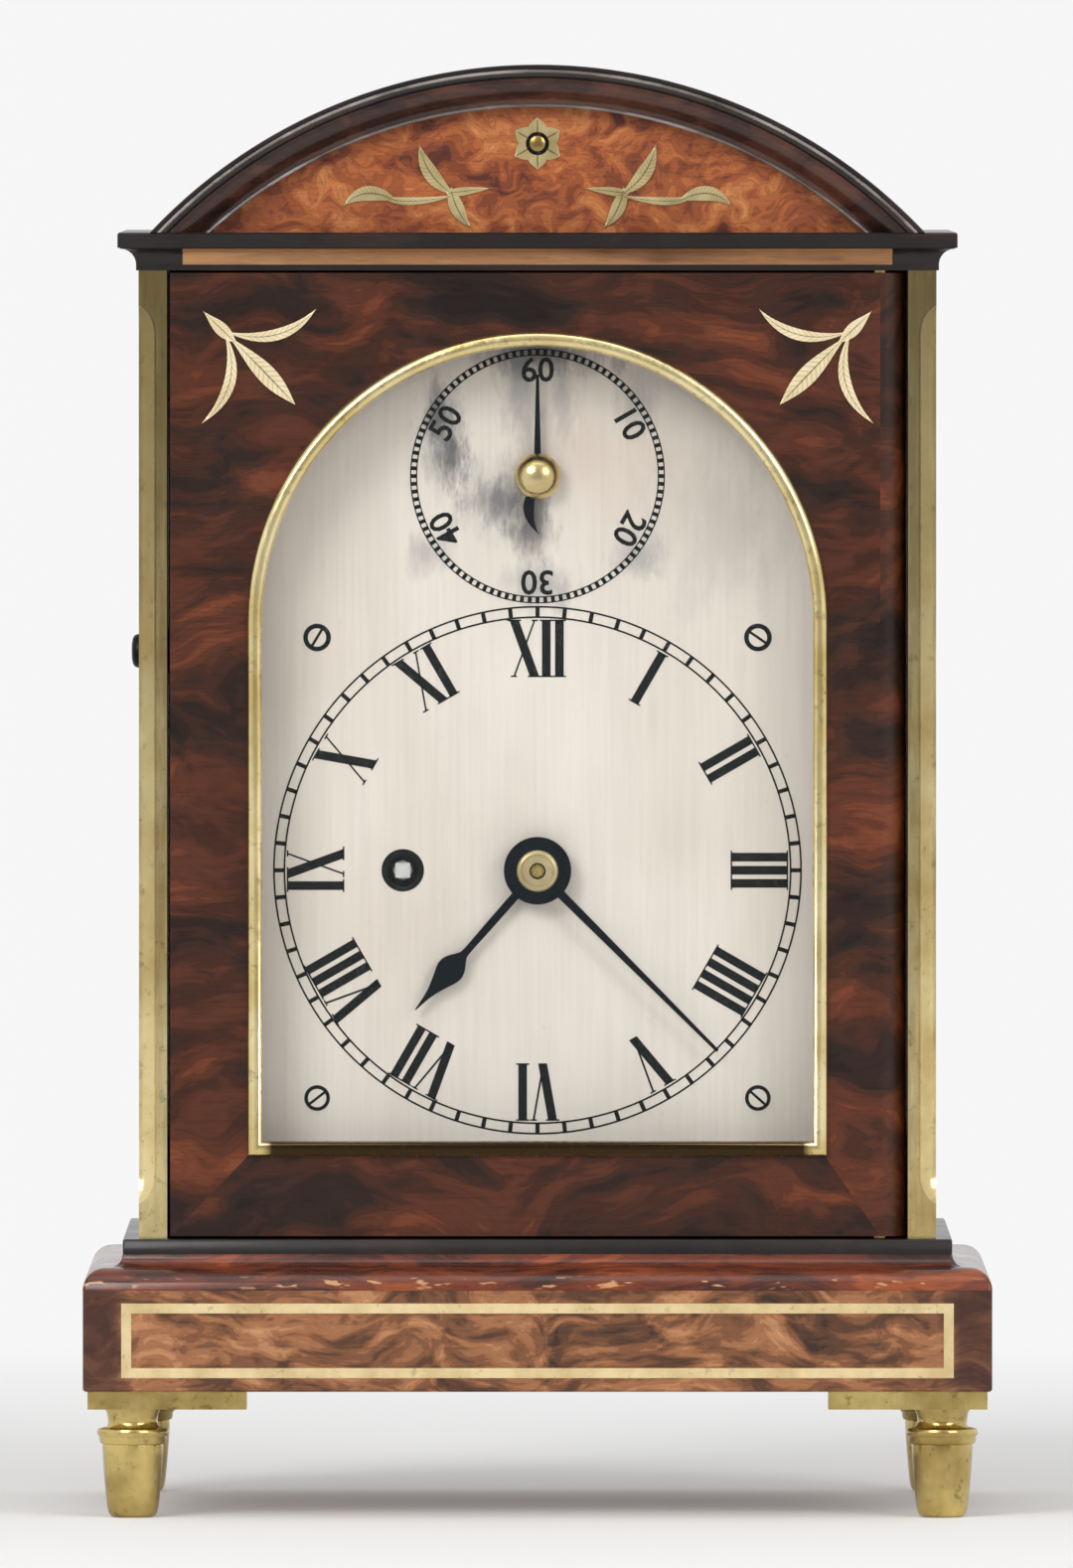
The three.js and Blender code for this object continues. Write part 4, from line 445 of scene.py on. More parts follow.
# each wood's colours are (how far up its figure, red, green, blue)
woods = {
    "rosewood door": {
        "driftScale": 26, "drift": 0.034, "turn": (0, 24, 0), "draw": 0.2, "figureScale": 120,
        "cloudScale": 44,
        "lines": 14, "lineDepth": 0.3, "smooth": 0.3, "cloudShare": 0.42, "gloss": 0.22, "polish": 0.06,
        "colours": [(0.35, 30, 20, 17), (0.44, 50, 30, 22), (0.51, 74, 39, 25),
                    (0.58, 98, 50, 31), (0.67, 130, 68, 41)],
    },
    "rosewood sides": {
        "driftScale": 14, "drift": 0.02, "turn": (0, 90, 0), "draw": 0.12, "figureScale": 130,
        "cloudScale": 36, "lines": 10, "lineDepth": 0.28, "smooth": 0.28,
        "colours": [(0.36, 36, 24, 20), (0.46, 66, 38, 28), (0.52, 92, 49, 32),
                    (0.58, 112, 60, 37), (0.68, 138, 76, 46)],
    },
    "rosewood plinth": {
        "driftScale": 36, "drift": 0.026, "turn": (0, 6, 0), "draw": 0.22, "figureScale": 270,
        "cloudScale": 70, "lines": 14, "lineDepth": 0.36, "smooth": 0.28, "zones": [darkEnds],
        "colours": [(0.36, 62, 40, 30), (0.45, 104, 66, 43), (0.51, 140, 90, 58),
                    (0.57, 166, 112, 74), (0.66, 192, 140, 98)],
    },
    "plinth round": {
        "driftScale": 24, "drift": 0.02, "turn": (0, 0, 0), "draw": 0.12, "figureScale": 240,
        "cloudScale": 60, "lines": 9, "lineDepth": 0.4, "smooth": 0.18, "polish": 0.3, "zones": [paleFlecksOnRound],
        "colours": [(0.36, 48, 24, 19), (0.46, 84, 38, 24), (0.53, 116, 52, 28),
                    (0.63, 150, 74, 36)],
    },
    "light rosewood": {
        "driftScale": 70, "drift": 0.024, "turn": (0, 12, 0), "draw": 0.5, "figureScale": 210,
        "cloudScale": 80, "lines": 16, "lineDepth": 0.45, "smooth": 0.3,
        "colours": [(0.35, 84, 40, 28), (0.45, 142, 72, 40), (0.54, 176, 98, 52),
                    (0.66, 204, 132, 76)],
    },
    "arch moulding": {
        "driftScale": 20, "drift": 0.01, "turn": (0, 0, 0), "draw": 0.4, "figureScale": 120, "cloudScale": 60,
        "lines": 8, "lineDepth": 0.4, "smooth": 0.22, "polish": 0.2,
        "colours": [(0.34, 30, 21, 20), (0.46, 52, 33, 29), (0.56, 76, 46, 36),
                    (0.68, 104, 62, 46)],
    },
    "ebonised wood": {
        "driftScale": 20, "drift": 0.01, "turn": (0, 0, 0), "draw": 0.2, "figureScale": 90, "cloudScale": 70,
        "lines": 6, "lineDepth": 0.3, "smooth": 0.28, "gloss": 0.3, "polish": 0.15,
        "colours": [(0.34, 20, 16, 16), (0.5, 30, 22, 20), (0.62, 46, 31, 26),
                    (0.75, 66, 42, 32)],
    },
    "cornice hollow": {
        "driftScale": 20, "drift": 0.006, "turn": (0, 0, 0), "draw": 0.12, "figureScale": 160,
        "cloudScale": 50, "lines": 6, "lineDepth": 0.25, "smooth": 0.35,
        "colours": [(0.34, 118, 78, 50), (0.46, 156, 110, 70), (0.56, 180, 134, 90),
                    (0.68, 200, 158, 112)],
    },
    # the beads are pale grey: a painted highlight along their rounded edges
    "moulding beads with painted highlight": {
        "driftScale": 20, "drift": 0.006, "turn": (0, 0, 0), "draw": 0.3, "figureScale": 160,
        "cloudScale": 50, "lines": 6, "lineDepth": 0.3, "smooth": 0.2, "polish": 0.4,
        "colours": [(0.34, 66, 58, 54), (0.46, 104, 96, 90), (0.56, 136, 128, 122),
                    (0.68, 166, 158, 150)],
    },
    "inner wood": {
        "driftScale": 10, "drift": 0.01, "turn": (0, 90, 0), "draw": 0.15, "figureScale": 100,
        "cloudScale": 30, "lines": 14, "lineDepth": 0.35, "smooth": 0.55, "gloss": 0.2, "polish": 0.0,
        "colours": [(0.34, 70, 44, 28), (0.48, 98, 64, 42), (0.6, 122, 82, 54),
                    (0.75, 140, 98, 66)],
    },
}
rosewood, sideWood, plinthWood, roundWood, panelWood, archWood, darkWood, tanWood, beadPaintedHighlight, innerWood = (
    woodMaterial(name, look) for name, look in woods.items())
brasses = {
    "case brass": {"bright": (238, 220, 168), "dull": (206, 182, 122), "smooth": 0.15, "bump": 0.04},
    "corner strip brass": {
        "bright": (232, 214, 160), "dull": (196, 172, 112), "smooth": 0.15, "bump": 0.04,
        "zones": [darkerTowardsCornice],
    },
    "bezel brass": {
        "bright": (240, 224, 172), "dull": (206, 182, 118), "smooth": 0.13, "bump": 0.03,
        # the bottom bar's darker colour is painted shade and reflection
        "zones": [paintedShadeOnBezelBar],
    },
    "hub brass": {
        "bright": (206, 190, 146), "dull": (176, 158, 112), "smooth": 0.3, "metal": 0.6, "spots": 0.6,
    },
    "inlay brass": {
        "bright": (230, 208, 160), "dull": (206, 182, 132), "smooth": 0.34, "cloudScale": 120, "metal": 0.4,
    },
    "movement brass": {
        "bright": (214, 188, 116), "dull": (188, 158, 90), "smooth": 0.2, "rub": (1, 1, 0.08), "bump": 0.02,
        "spots": 0.65,
    },
    "foot brass": {"bright": (212, 190, 122), "dull": (134, 106, 54), "smooth": 0.14, "spots": 0.3},
    "cock brass": {"bright": (228, 206, 138), "dull": (208, 182, 112), "smooth": 0.14, "bump": 0.02},
}
caseBrass, stripBrass, bezelBrass, hubBrass, inlayBrass, movementBrass, footBrass, cockBrass = (
    brassMaterial(name, look) for name, look in brasses.items())


def steelMaterial(name, bright, dull, smooth, metal=1.0):
    made, tree, shader = newMaterial(name, Metallic=metal)
    place = objectPlace(tree)
    cloud = noise(tree, place, 220, 4, 0.6)
    colour = mixed(tree, ramp(tree, cloud, [(0.35, 0.0), (0.7, 1.0)]), bright, dull)
    dress(tree, shader, colour, ramp(tree, cloud, [(0.3, smooth), (0.7, smooth + 0.14)]))
    bumpFrom(tree, shader, noise(tree, place, 2400, 2), 0.05, 0.00003)
    return made


steel = steelMaterial("steel", paint(176, 178, 182), paint(126, 126, 128), 0.25)
bluedSteel = steelMaterial("blued steel", paint(22, 24, 36), paint(14, 14, 20), 0.3)
keySteel = steelMaterial("polished square", paint(226, 226, 224), paint(190, 190, 190), 0.3, 0.4)
blackSteel = steelMaterial("blackened steel", paint(40, 38, 38), paint(22, 20, 20), 0.4)


def silverMaterial(look):
    # brushed upright, with grey staining near the small dial
    made, tree, shader = newMaterial("silvered dial", Metallic=0.12, Specular_IOR_Level=0.25)
    place = objectPlace(tree)
    brushed = noise(tree, stretched(tree, place, (1, 1, 0.03)), 900, 4, 0.6)
    cloud = noise(tree, stretched(tree, place, (1, 1, 0.6)), 26, 3, 0.55)
    colour = mixed(tree, ramp(tree, cloud, [(0.38, 0.0), (0.68, 1.0)]), look["bright"], look["dull"])
    colour = mixed(tree, 0.35, colour, ramp(tree, brushed, [(0.3, 0.82), (0.62, 1.0)]), "MULTIPLY")
    speckle = ramp(tree, noise(tree, place, 330, 4, 0.75), [(0.27, 0.72), (0.36, 1.0)])
    colour = mixed(tree, 0.5, colour, speckle, "MULTIPLY")
    torn = noise(tree, stretched(tree, place, (1, 1, 0.35)), 240, 4, 0.75)
    ragged = times(tree, calculated(tree, "SUBTRACT", torn, 0.5), 2.6)
    # each mark darkens the dial round its place; one of them is painted shade
    for x, z, width, height, depth, markColour in look["stainsAndShade"]:
        away = addNode(tree, "ShaderNodeMapping", {
            "Vector": place, "Location": (-x / width, 0, -z / height),
            "Scale": (1000 / width, 0, 1000 / height),
        }).outputs["Vector"]
        distance = addNode(tree, "ShaderNodeVectorMath", {0: away}, operation="LENGTH").outputs["Value"]
        patches = times(tree, calculated(tree, "ADD", distance, ragged), 0.5)
        colour = mixed(tree, ramp(tree, patches, [(0.1, depth), (0.6, 0.0)]), colour, markColour)
    dress(tree, shader, colour, ramp(tree, brushed, [(0.3, 0.4), (0.7, 0.52)]))
    bumpFrom(tree, shader, brushed, 0.04, 0.00004)
    return made


stainGrey, stainPale = paint(84, 82, 86), paint(150, 148, 152)
# the last colour here is for painted shade, not staining
stainWarm, paintedShadeGrey = paint(226, 206, 192), paint(196, 190, 182)
silver = silverMaterial({
    "bright": paint(243, 235, 224), "dull": paint(230, 220, 208),
    # each mark is its place across and up, its width and height in millimetres, its depth and its colour; one
    # mark is painted shade, the rest are staining
    "stainsAndShade": [
        (-5, 204, 8, 5.5, 0.85, stainGrey), (-1, 199, 5, 6, 0.75, stainGrey),
        (-8, 205, 10, 8, 0.4, stainPale),
        (0.5, 234, 15, 4.6, 0.85, stainGrey), (-4, 228, 3.5, 11, 0.65, stainPale),
        (5, 227, 4, 11, 0.55, stainPale),
        (-19, 217, 5, 13, 0.75, stainPale), (-17.5, 214, 3, 8, 0.75, stainGrey),
        (-20, 222, 3, 6, 0.6, stainGrey),
        (20, 193, 6, 5, 0.6, stainPale), (20, 224, 5, 6, 0.5, stainPale), (-22, 194, 5, 5, 0.5, stainPale),
        (0, 187, 8, 5, 0.6, stainPale), (12, 213, 14, 12, 0.4, stainWarm),
        # painted shade: a broad soft darkening right of the small dial
        (38, 198, 16, 16, 0.45, paintedShadeGrey),
    ],
})


def waxMaterial():
    made, tree, shader = newMaterial("engraving wax", Specular_IOR_Level=0.08)
    place = objectPlace(tree)
    patches = ramp(tree, noise(tree, place, 700, 3, 0.7), [(0.3, paint(52, 50, 52)), (0.42, paint(15, 15, 18))])
    dress(tree, shader, patches, 0.55)
    return made


wax = waxMaterial()


def glassMaterial():
    made, tree, shader = newMaterial("window glass", Alpha=0.05, Specular_IOR_Level=0.5)
    ripple = noise(tree, objectPlace(tree), 12, 2)
    dress(tree, shader, ramp(tree, ripple, [(0.3, paint(96, 108, 104)), (0.7, paint(112, 122, 118))]), 0.03)
    bumpFrom(tree, shader, ripple, 0.04, 0.0002)
    return made


glass = glassMaterial()


def gutMaterial():
    made, tree, shader = newMaterial("gut line", Specular_IOR_Level=0.4)
    strands = noise(tree, objectPlace(tree), 900, 3)
    dress(tree, shader, ramp(tree, strands, [(0.3, paint(150, 108, 58)), (0.7, paint(196, 154, 98))]), 0.5)
    bumpFrom(tree, shader, strands, 0.2, 0.0001)
    return made


gut = gutMaterial()
print("materials made")


slotFinish = {
    "rosewood": rosewood, "light_rosewood": panelWood, "ebonized_wood": darkWood, "inner_wood": innerWood,
    "brass": movementBrass, "silvered_brass": silver, "steel": steel, "blued_steel": bluedSteel,
    "glass": glass, "gut": gut,
}
for entry in frame["record"]["subparts"]:
    node = nodes[entry["node"]]
    node.data.materials.clear()
    node.data.materials.append(slotFinish[entry["material_slot"]])
nodes["plinth_stringing"].data.materials[0] = inlayBrass
nodes["winding_arbor"].data.materials[0] = keySteel
for nodeName in ("back_cock", "suspension_slide"):
    nodes[nodeName].data.materials[0] = cockBrass


# plinth

plinth = {
    "stringEdge": 56.2, "stringBottom": 28.4, "stringTop": 43.4, "stringWidth": 2, "stringDepth": 0.8,
    "bottom": 25.6, "corner": 0.7, "round": 4.5, "roundFoot": 46, "cove": 2.5, "coveTop": 53, "coveEdge": 86,
    "coveDepth": 58.5, "coveCorner": 0.4,
}


def buildPlinth(size):
    halfWidth, halfDepth, corner = case["plinthHalfWidth"], case["plinthHalfDepth"], size["corner"]
    foot, r = size["roundFoot"], size["round"]
    # the walls stand just inside the brass lines, so that the lines lie flush
    walls = [(-0.4, size["bottom"]), (0, size["bottom"] + 0.4), (0, foot)]
    finish("plinth_block", levels(walls, halfWidth - 0.05, halfDepth - 0.05, corner), "case",
           plinthWood, ["plinth"])
    roundOver = [(-r + r * cos(radians(t)), foot + r * sin(radians(t))) for t in range(0, 91, 15)]
    finish("plinth_round", levels([(-1, foot)] + roundOver, halfWidth, halfDepth, corner), "case",
           roundWood, ["plinth"], sharp=50)
    c, top = size["cove"], size["coveTop"]
    cove = [(-3, top - 2.6)] + [(-c * sin(radians(t)), top - c * cos(radians(t))) for t in range(0, 91, 15)]
    fillet = [(-c, top), (-c, case["bottom"] - 0.3), (-c - 0.3, case["bottom"])]
    for name, profile, wood in (("plinth_cove", cove, roundWood), ("plinth_fillet", fillet, darkWood)):
        shape = levels(profile, size["coveEdge"], size["coveDepth"], size["coveCorner"])
        finish(name, shape, "case", wood, ["plinth"], sharp=50)
    x, low, high, w = size["stringEdge"], size["stringBottom"], size["stringTop"], size["stringWidth"]
    loops = [rectangle(-x, x, low, high), rectangle(-x + w, x - w, low + w, high - w)]
    lines = [plate(loops, side * (halfWidth - size["stringDepth"]), side * halfWidth, onSide)
             for side in (-1, 1)]
    finish("plinth_side_stringing", joined(*lines), "case", inlayBrass, ["plinth"])


buildPlinth(plinth)

# feet

feet = {"x": 81.5, "y": 54, "height": 22, "plateThickness": 3.6, "edgeX": 90.5, "edgeY": 63, "reach": 32,
        "width": 15}
footTurning = [
    (0, 0), (3.7, 0), (4.5, 0.3), (4.95, 1.0), (5.2, 2.2), (5.5, 5), (5.8, 8.5), (6.05, 12), (6.15, 14.2),
    (6.1, 14.7), (6.55, 14.9), (6.75, 15.5), (6.8, 16.3), (7.05, 16.5), (7.2, 16.9), (7.2, 17.4), (7.0, 17.8),
    (6.3, 17.95), (5.5, 18.1), (5.1, 18.6), (5.0, 19.4), (5.1, 20.5), (5.5, 21.7), (5.7, 22.4), (0, 22.4),
]


def footPlate(size, sx, sy):
    x, y, r, w = size["edgeX"], size["edgeY"], size["reach"], size["width"]
    corner = [(x, y), (x - r, y), (x - r, y - w), (x - w, y - w), (x - w, y - r), (x, y - r)]
    top = size["height"] + size["plateThickness"]
    return plate([[(sx * a, sy * b) for a, b in corner]], size["height"], top, onTop)


for sx, sideName in bothSides:
    for sy, endName in ((-1, "front"), (1, "back")):
        footName = "foot_" + endName + "_" + sideName
        turned = lathe(footTurning, 44, sx * feet["x"], sy * feet["y"], 0, "z")
        finish(footName + "_turned", joined(turned, footPlate(feet, sx, sy)), "case", footBrass,
               [footName], sharp=40)
print("plinth and feet made")

# sides and their frets

sideShape = {
    "inner": 74.5, "outer": 80, "front": -46.8, "back": 52.5, "fretHalfWidth": 27, "fretBottom": 92,
    "fretSpring": 186, "buttonY": -31, "buttonZ": 174, "buttonHole": 3.7,
}
fret = {
    "outer": 79.6, "thickness": 1.8, "rim": 1.9, "scalePitch": 8.35, "rowHeight": 4.175, "bar": 0.62,
    "silk": 77.7,
}


def buildSides(size):
    for side, sideName in bothSides:
        outline = rectangle(size["front"], size["back"], case["bottom"], case["top"])
        loops = [outline, arch(size["fretHalfWidth"], size["fretBottom"], size["fretSpring"])]
        if side < 0:
            loops.append(circle(size["buttonY"], size["buttonZ"], size["buttonHole"]))
        finish("side_" + sideName, plate(loops, side * size["inner"], side * size["outer"], onSide),
               "case", sideWood, ["side_panel_" + sideName])


buildSides(sideShape)


def newTree(name, sizes, material):
    # a geometry tree with one named input for each size; returns tree, the inputs' node and the last node
    tree = bpy.data.node_groups.new(name, "GeometryNodeTree")
    tree.interface.new_socket("Geometry", in_out="INPUT", socket_type="NodeSocketGeometry")
    for key, value in sizes.items():
        kind = "NodeSocketInt" if isinstance(value, int) else "NodeSocketFloat"
        tree.interface.new_socket(key, in_out="INPUT", socket_type=kind)
    tree.interface.new_socket("Geometry", in_out="OUTPUT", socket_type="NodeSocketGeometry")
    given = tree.nodes.new("NodeGroupInput")
    realized = tree.nodes.new("GeometryNodeRealizeInstances")
    coloured = tree.nodes.new("GeometryNodeSetMaterial")
    coloured.inputs["Material"].default_value = material
    out = tree.nodes.new("NodeGroupOutput")
    tree.links.new(realized.outputs[0], coloured.inputs["Geometry"])
    tree.links.new(coloured.outputs[0], out.inputs[0])
    return tree, given.outputs, realized.inputs[0]


def bakeTree(name, tree, sizes, base, edges=()):
    # base is (points, faces) that the tree starts from; sizes are in the tree's own units
    holder = meshObject(name + "_base", *base)
    if edges:
        holder.data.edges.add(len(edges))
        for edge, ends in zip(holder.data.edges, edges):
            edge.vertices = ends
    modifier = holder.modifiers.new("maker", "NODES")
    modifier.node_group = tree
    for item in tree.interface.items_tree:
        if item.in_out == "INPUT" and item.name in sizes:
            modifier[item.identifier] = sizes[item.name]
    mesh = evaluatedMesh(holder)
    mesh.name = name
    made = inScene(name, mesh)
    tidyMesh(made)
    return made


def barsOnRing(tree, count, radius, width, depth, height):
    # one bar on every point of a circle, its width pointing outwards
    points = addNode(tree, "GeometryNodeMeshCircle", {"Vertices": count, "Radius": radius})
    size = addNode(tree, "ShaderNodeCombineXYZ", {"X": width, "Y": depth, "Z": height})
    bar = addNode(tree, "GeometryNodeMeshCube", {"Size": size.outputs[0]})
    place = tree.nodes.new("GeometryNodeInputPosition")
    turn = addNode(tree, "FunctionNodeAlignRotationToVector", {"Vector": place.outputs[0]}, axis="X")
    return addNode(tree, "GeometryNodeInstanceOnPoints", {
        "Points": points.outputs[0], "Instance": bar.outputs[0], "Rotation": turn.outputs[0]}).outputs[0]


def movedTo(tree, geometry, depth, height):
    shift = addNode(tree, "ShaderNodeCombineXYZ", {"Y": depth, "Z": height})
    return addNode(tree, "GeometryNodeTransform", {
        "Geometry": geometry, "Translation": shift.outputs[0]}).outputs[0]


def scaleTree(sizes):
    # one scale is a half ring hanging from its row; every point of the base carries one
    tree, given, last = newTree("fret scales", sizes, caseBrass)
    arc = addNode(tree, "GeometryNodeCurveArc", {
        "Resolution": 11, "Radius": given["Radius"], "Start Angle": pi, "Sweep Angle": pi})
    section = addNode(tree, "GeometryNodeCurvePrimitiveQuadrilateral", {
        "Width": given["Thickness"], "Height": given["Bar"]})
    band = addNode(tree, "GeometryNodeCurveToMesh", {
        "Curve": arc.outputs["Curve"], "Profile Curve": section.outputs["Curve"], "Fill Caps": True})
    upright = addNode(tree, "GeometryNodeTransform", {
        "Geometry": band.outputs[0], "Rotation": Euler((pi / 2, 0, pi / 2))})
    points = addNode(tree, "GeometryNodeInstanceOnPoints", {
        "Points": given["Geometry"], "Instance": upright.outputs[0]})
    tree.links.new(points.outputs[0], last)
    return tree


def buildFrets(size):
    sizes = {"Radius": size["scalePitch"] / 2000, "Thickness": size["thickness"] / 1000,
             "Bar": size["bar"] / 1000}
    tree = scaleTree(sizes)
    half, low, spring = sideShape["fretHalfWidth"], sideShape["fretBottom"], sideShape["fretSpring"]
    for side, sideName in bothSides:
        middle = side * (size["outer"] - size["thickness"] / 2)
        points = []
        row = 0
        while low + row * size["rowHeight"] < spring + half + size["rowHeight"]:
            z = low + row * size["rowHeight"]
            shift = size["scalePitch"] / 2 * (row % 2)
            for column in range(-5, 6):
                y = column * size["scalePitch"] + shift
                if hypot(y, max(0, z - size["scalePitch"] / 3 - spring)) < half + size["scalePitch"] * 0.2:
                    points.append((middle, y, z))
            row += 1
        made = bakeTree("fret_scales_" + sideName, tree, sizes, (points, []))
        ridden(made, "case", ["fret_" + sideName])
        rim = plate([arch(half - 0.05, low + 0.05, spring),
                     arch(half - size["rim"], low + size["rim"], spring)],
                    side * (size["outer"] - size["thickness"]), side * (size["outer"] + 0.15), onSide)
        finish("fret_rim_" + sideName, rim, "case", caseBrass, ["fret_" + sideName], bevel=0.25)


def silkMaterial():
    made, tree, shader = newMaterial("faded silk", Specular_IOR_Level=0.2, Sheen_Weight=0.3,
                                     Sheen_Roughness=0.4)
    place = objectPlace(tree)
    warp, weft = (
        addNode(tree, "ShaderNodeTexWave", {"Vector": place, "Scale": 700, "Distortion": 1.5, "Detail": 1},
                wave_type="BANDS", bands_direction=direction).outputs["Fac"] for direction in "YZ")
    weave = times(tree, warp, weft)
    faded = mixed(tree, ramp(tree, noise(tree, place, 30, 3), [(0.35, 0.0), (0.7, 1.0)]), paint(96, 34, 30),
                  paint(122, 56, 44))
    dress(tree, shader, mixed(tree, 0.5, faded, ramp(tree, weave, [(0.0, 0.6), (0.7, 1.0)]), "MULTIPLY"),
          0.75)
    bumpFrom(tree, shader, weave, 0.4, 0.0001)
    return made


silk = silkMaterial()


def buildSilk(size):
    # stretched behind each fret, its edge held in the opening
    half, low = sideShape["fretHalfWidth"] - 0.1, sideShape["fretBottom"] + 0.1
    spring = sideShape["fretSpring"]
    for side, sideName in bothSides:
        outer = side * size["silk"]
        made = meshObject("silk_" + sideName,
                          *plate([arch(half, low, spring)], outer - side * 0.35, outer, onSide))
        tidyMesh(made)
        made.data.materials.append(silk)
        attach(made, "case")


buildFrets(fret)
buildSilk(fret)

# catch button

button = {"x": -82, "y": -31, "z": 174}
buttonTurning = [
    (0, 0), (1.6, 0.05), (2.6, 0.25), (3.15, 0.6), (3.4, 1.2), (3.4, 7.5), (4.8, 7.5), (4.8, 8.7), (0, 8.7),
]
finish("catch_button_turned", lathe(buttonTurning, 40, button["x"], button["y"], button["z"], "x"), "catch",
       blackSteel, ["catch_button"], sharp=40)

# corner strips with a scooped hollow

strip = {
    "inner": 74.6, "outer": 80.3, "front": -52.8, "back": -46.8, "hollow": 4.2, "hollowX": 80.9,
    "hollowY": -53.4, "low": 69, "high": 238, "stop": 6, "least": 0.86,
}


def buildStrips(size):
    def hollowAt(z):
        past = max(0, size["low"] - z, z - size["high"]) / size["stop"]
        return size["hollow"] * sqrt(max(0, 1 - past ** 2)) if past < 1 else 0

    heights = [case["bottom"]]
    heights += [size["low"] - size["stop"] * cos(pi / 2 * k / 10) for k in range(11)]
    heights += [size["high"] + size["stop"] * sin(pi / 2 * k / 10) for k in range(11)]
    heights += [case["top"]]
    for side, sideName in bothSides:
        rings = []
        for z in heights:
            r, x, y = max(hollowAt(z), size["least"]), size["hollowX"], size["hollowY"]
            onSideFace = Vector((size["outer"] - x, sqrt(max(0, r * r - (x - size["outer"]) ** 2))))
            onFrontFace = Vector((-sqrt(max(0, r * r - (size["front"] - y) ** 2)), size["front"] - y))
            hollow = []
            for k in range(9):
                place = onSideFace.lerp(onFrontFace, k / 8)
                place = place.normalized() * r if place.length > 1e-6 else place
                hollow.append((x + place.x, y + place.y))
            ring = [(size["inner"], size["front"]), (size["inner"], size["back"]),
                    (size["outer"], size["back"])]
            rings.append([(side * a, b, z) for a, b in ring + hollow])
        finish("corner_strip_" + sideName + "_hollowed", loft(rings), "case", stripBrass,
               ["corner_strip_" + sideName], sharp=30)


buildStrips(strip)
print("sides made")

# cornice

cornice = {"cove": 3.2, "coveLow": 252.16, "coveOut": 4, "ends": 8.6}


def buildCornice(size):
    r = size["cove"]
    low, high = case["top"], case["cornice"]
    cove = [(size["coveOut"] - r * cos(radians(t)), size["coveLow"] + r * sin(radians(t)))
            for t in range(0, 91, 10)]
    profile = [(0, low), (0.8, low), (0.8, size["coveLow"])] + cove[1:] + [
        (4, high - 3.1), (4.5, high - 3.04), (4.5, high - 0.3), (4.2, high)]
    finish("cornice_moulding", levels(profile, case["halfWidth"], case["halfDepth"], 0.15), "case",
           darkWood, ["cornice"], sharp=30)

    # cross-banded veneer in the hollow, between the dark corners
    def lined(along, across, swap, sign):
        rings = []
        for end in (-1, 1):
            outer = [(across + out + 0.05, z) for out, z in cove]
            inner = [(across + out - 0.4, z + 0.1) for out, z in reversed(cove)]
            ring = []
            for a, z in outer + inner:
                ring.append((sign * a, end * along, z) if swap else (end * along, sign * a, z))
            rings.append(ring)
        return loft(rings)

    front = lined(case["halfWidth"] - size["ends"], case["halfDepth"], False, -1)
    left = lined(case["halfDepth"] - size["ends"], case["halfWidth"], True, -1)
    right = lined(case["halfDepth"] - size["ends"], case["halfWidth"], True, 1)
    finish("cornice_hollow_veneer", joined(front, left, right), "case", tanWood, ["cornice"])


buildCornice(cornice)

# arched roof and its moulding

roof = {"thickness": 3.4, "front": -55.5, "back": 57, "boardFront": 48.5, "boardBack": 52.5,
        "boardRadius": 104}
archMoulding = {
    "radius": 103.3, "steps": 72,
    # the outer fillet and its groove, the ogee, and the two fine beads as (out, y, radius)
    "fillet": [
        (3.6, -55.5), (3.6, -56.75), (3.4, -57), (2.85, -57), (2.7, -56.8), (2.7, -56.45), (1.9, -56.45),
        (1.85, -56.75), (1.6, -56.9), (1.2, -56.8), (0.95, -56.4), (0.9, -55.5),
    ],
    "ogee": [
        (0.9, -55.5), (0.9, -56.1), (0.4, -56.2), (-0.4, -56.1), (-1.2, -55.7), (-2.0, -55.0), (-2.7, -54.1),
        (-3.3, -53.3), (-3.8, -52.95), (-4.3, -52.85), (-4.9, -52.85), (-4.95, -52.7), (-4.95, -48.9),
        (0, -48.9), (0, -55.5),
    ],
    "beads": [(2.3, -56.55, 0.4), (-4.6, -52.85, 0.34)],
}


def buildRoof(size):
    outer, inner = case["roofRadius"], case["roofRadius"] - size["thickness"]
    shell = archSweep([(outer, size["front"]), (outer, size["back"] - 0.5), (outer - 0.5, size["back"]),
                       (inner, size["back"]), (inner, size["front"])], 72)
    finish("roof_curved", shell, "case", sideWood, ["roof"], sharp=30)
    edge = [onRoof(size["boardRadius"], k / 48) for k in range(49)]
    finish("roof_back_board", plate([edge], size["boardFront"], size["boardBack"]), "case",
           sideWood, ["roof"])


def buildArchMoulding(size):
    for part, material in (("fillet", darkWood), ("ogee", archWood)):
        section = [(size["radius"] + out, y) for out, y in size[part]]
        finish("arch_moulding_" + part, archSweep(section, size["steps"]), "case", material,
               ["arch_moulding"], sharp=40)
    # both beads take the pale grey of a painted highlight
    beads = [archSweep(circle(size["radius"] + out, y, r, 10), size["steps"]) for out, y, r in size["beads"]]
    finish("arch_moulding_beads", joined(*beads), "case", beadPaintedHighlight, ["arch_moulding"],
           sharp=60)


buildRoof(roof)
buildArchMoulding(archMoulding)
print("cornice and roof made")

# inlays

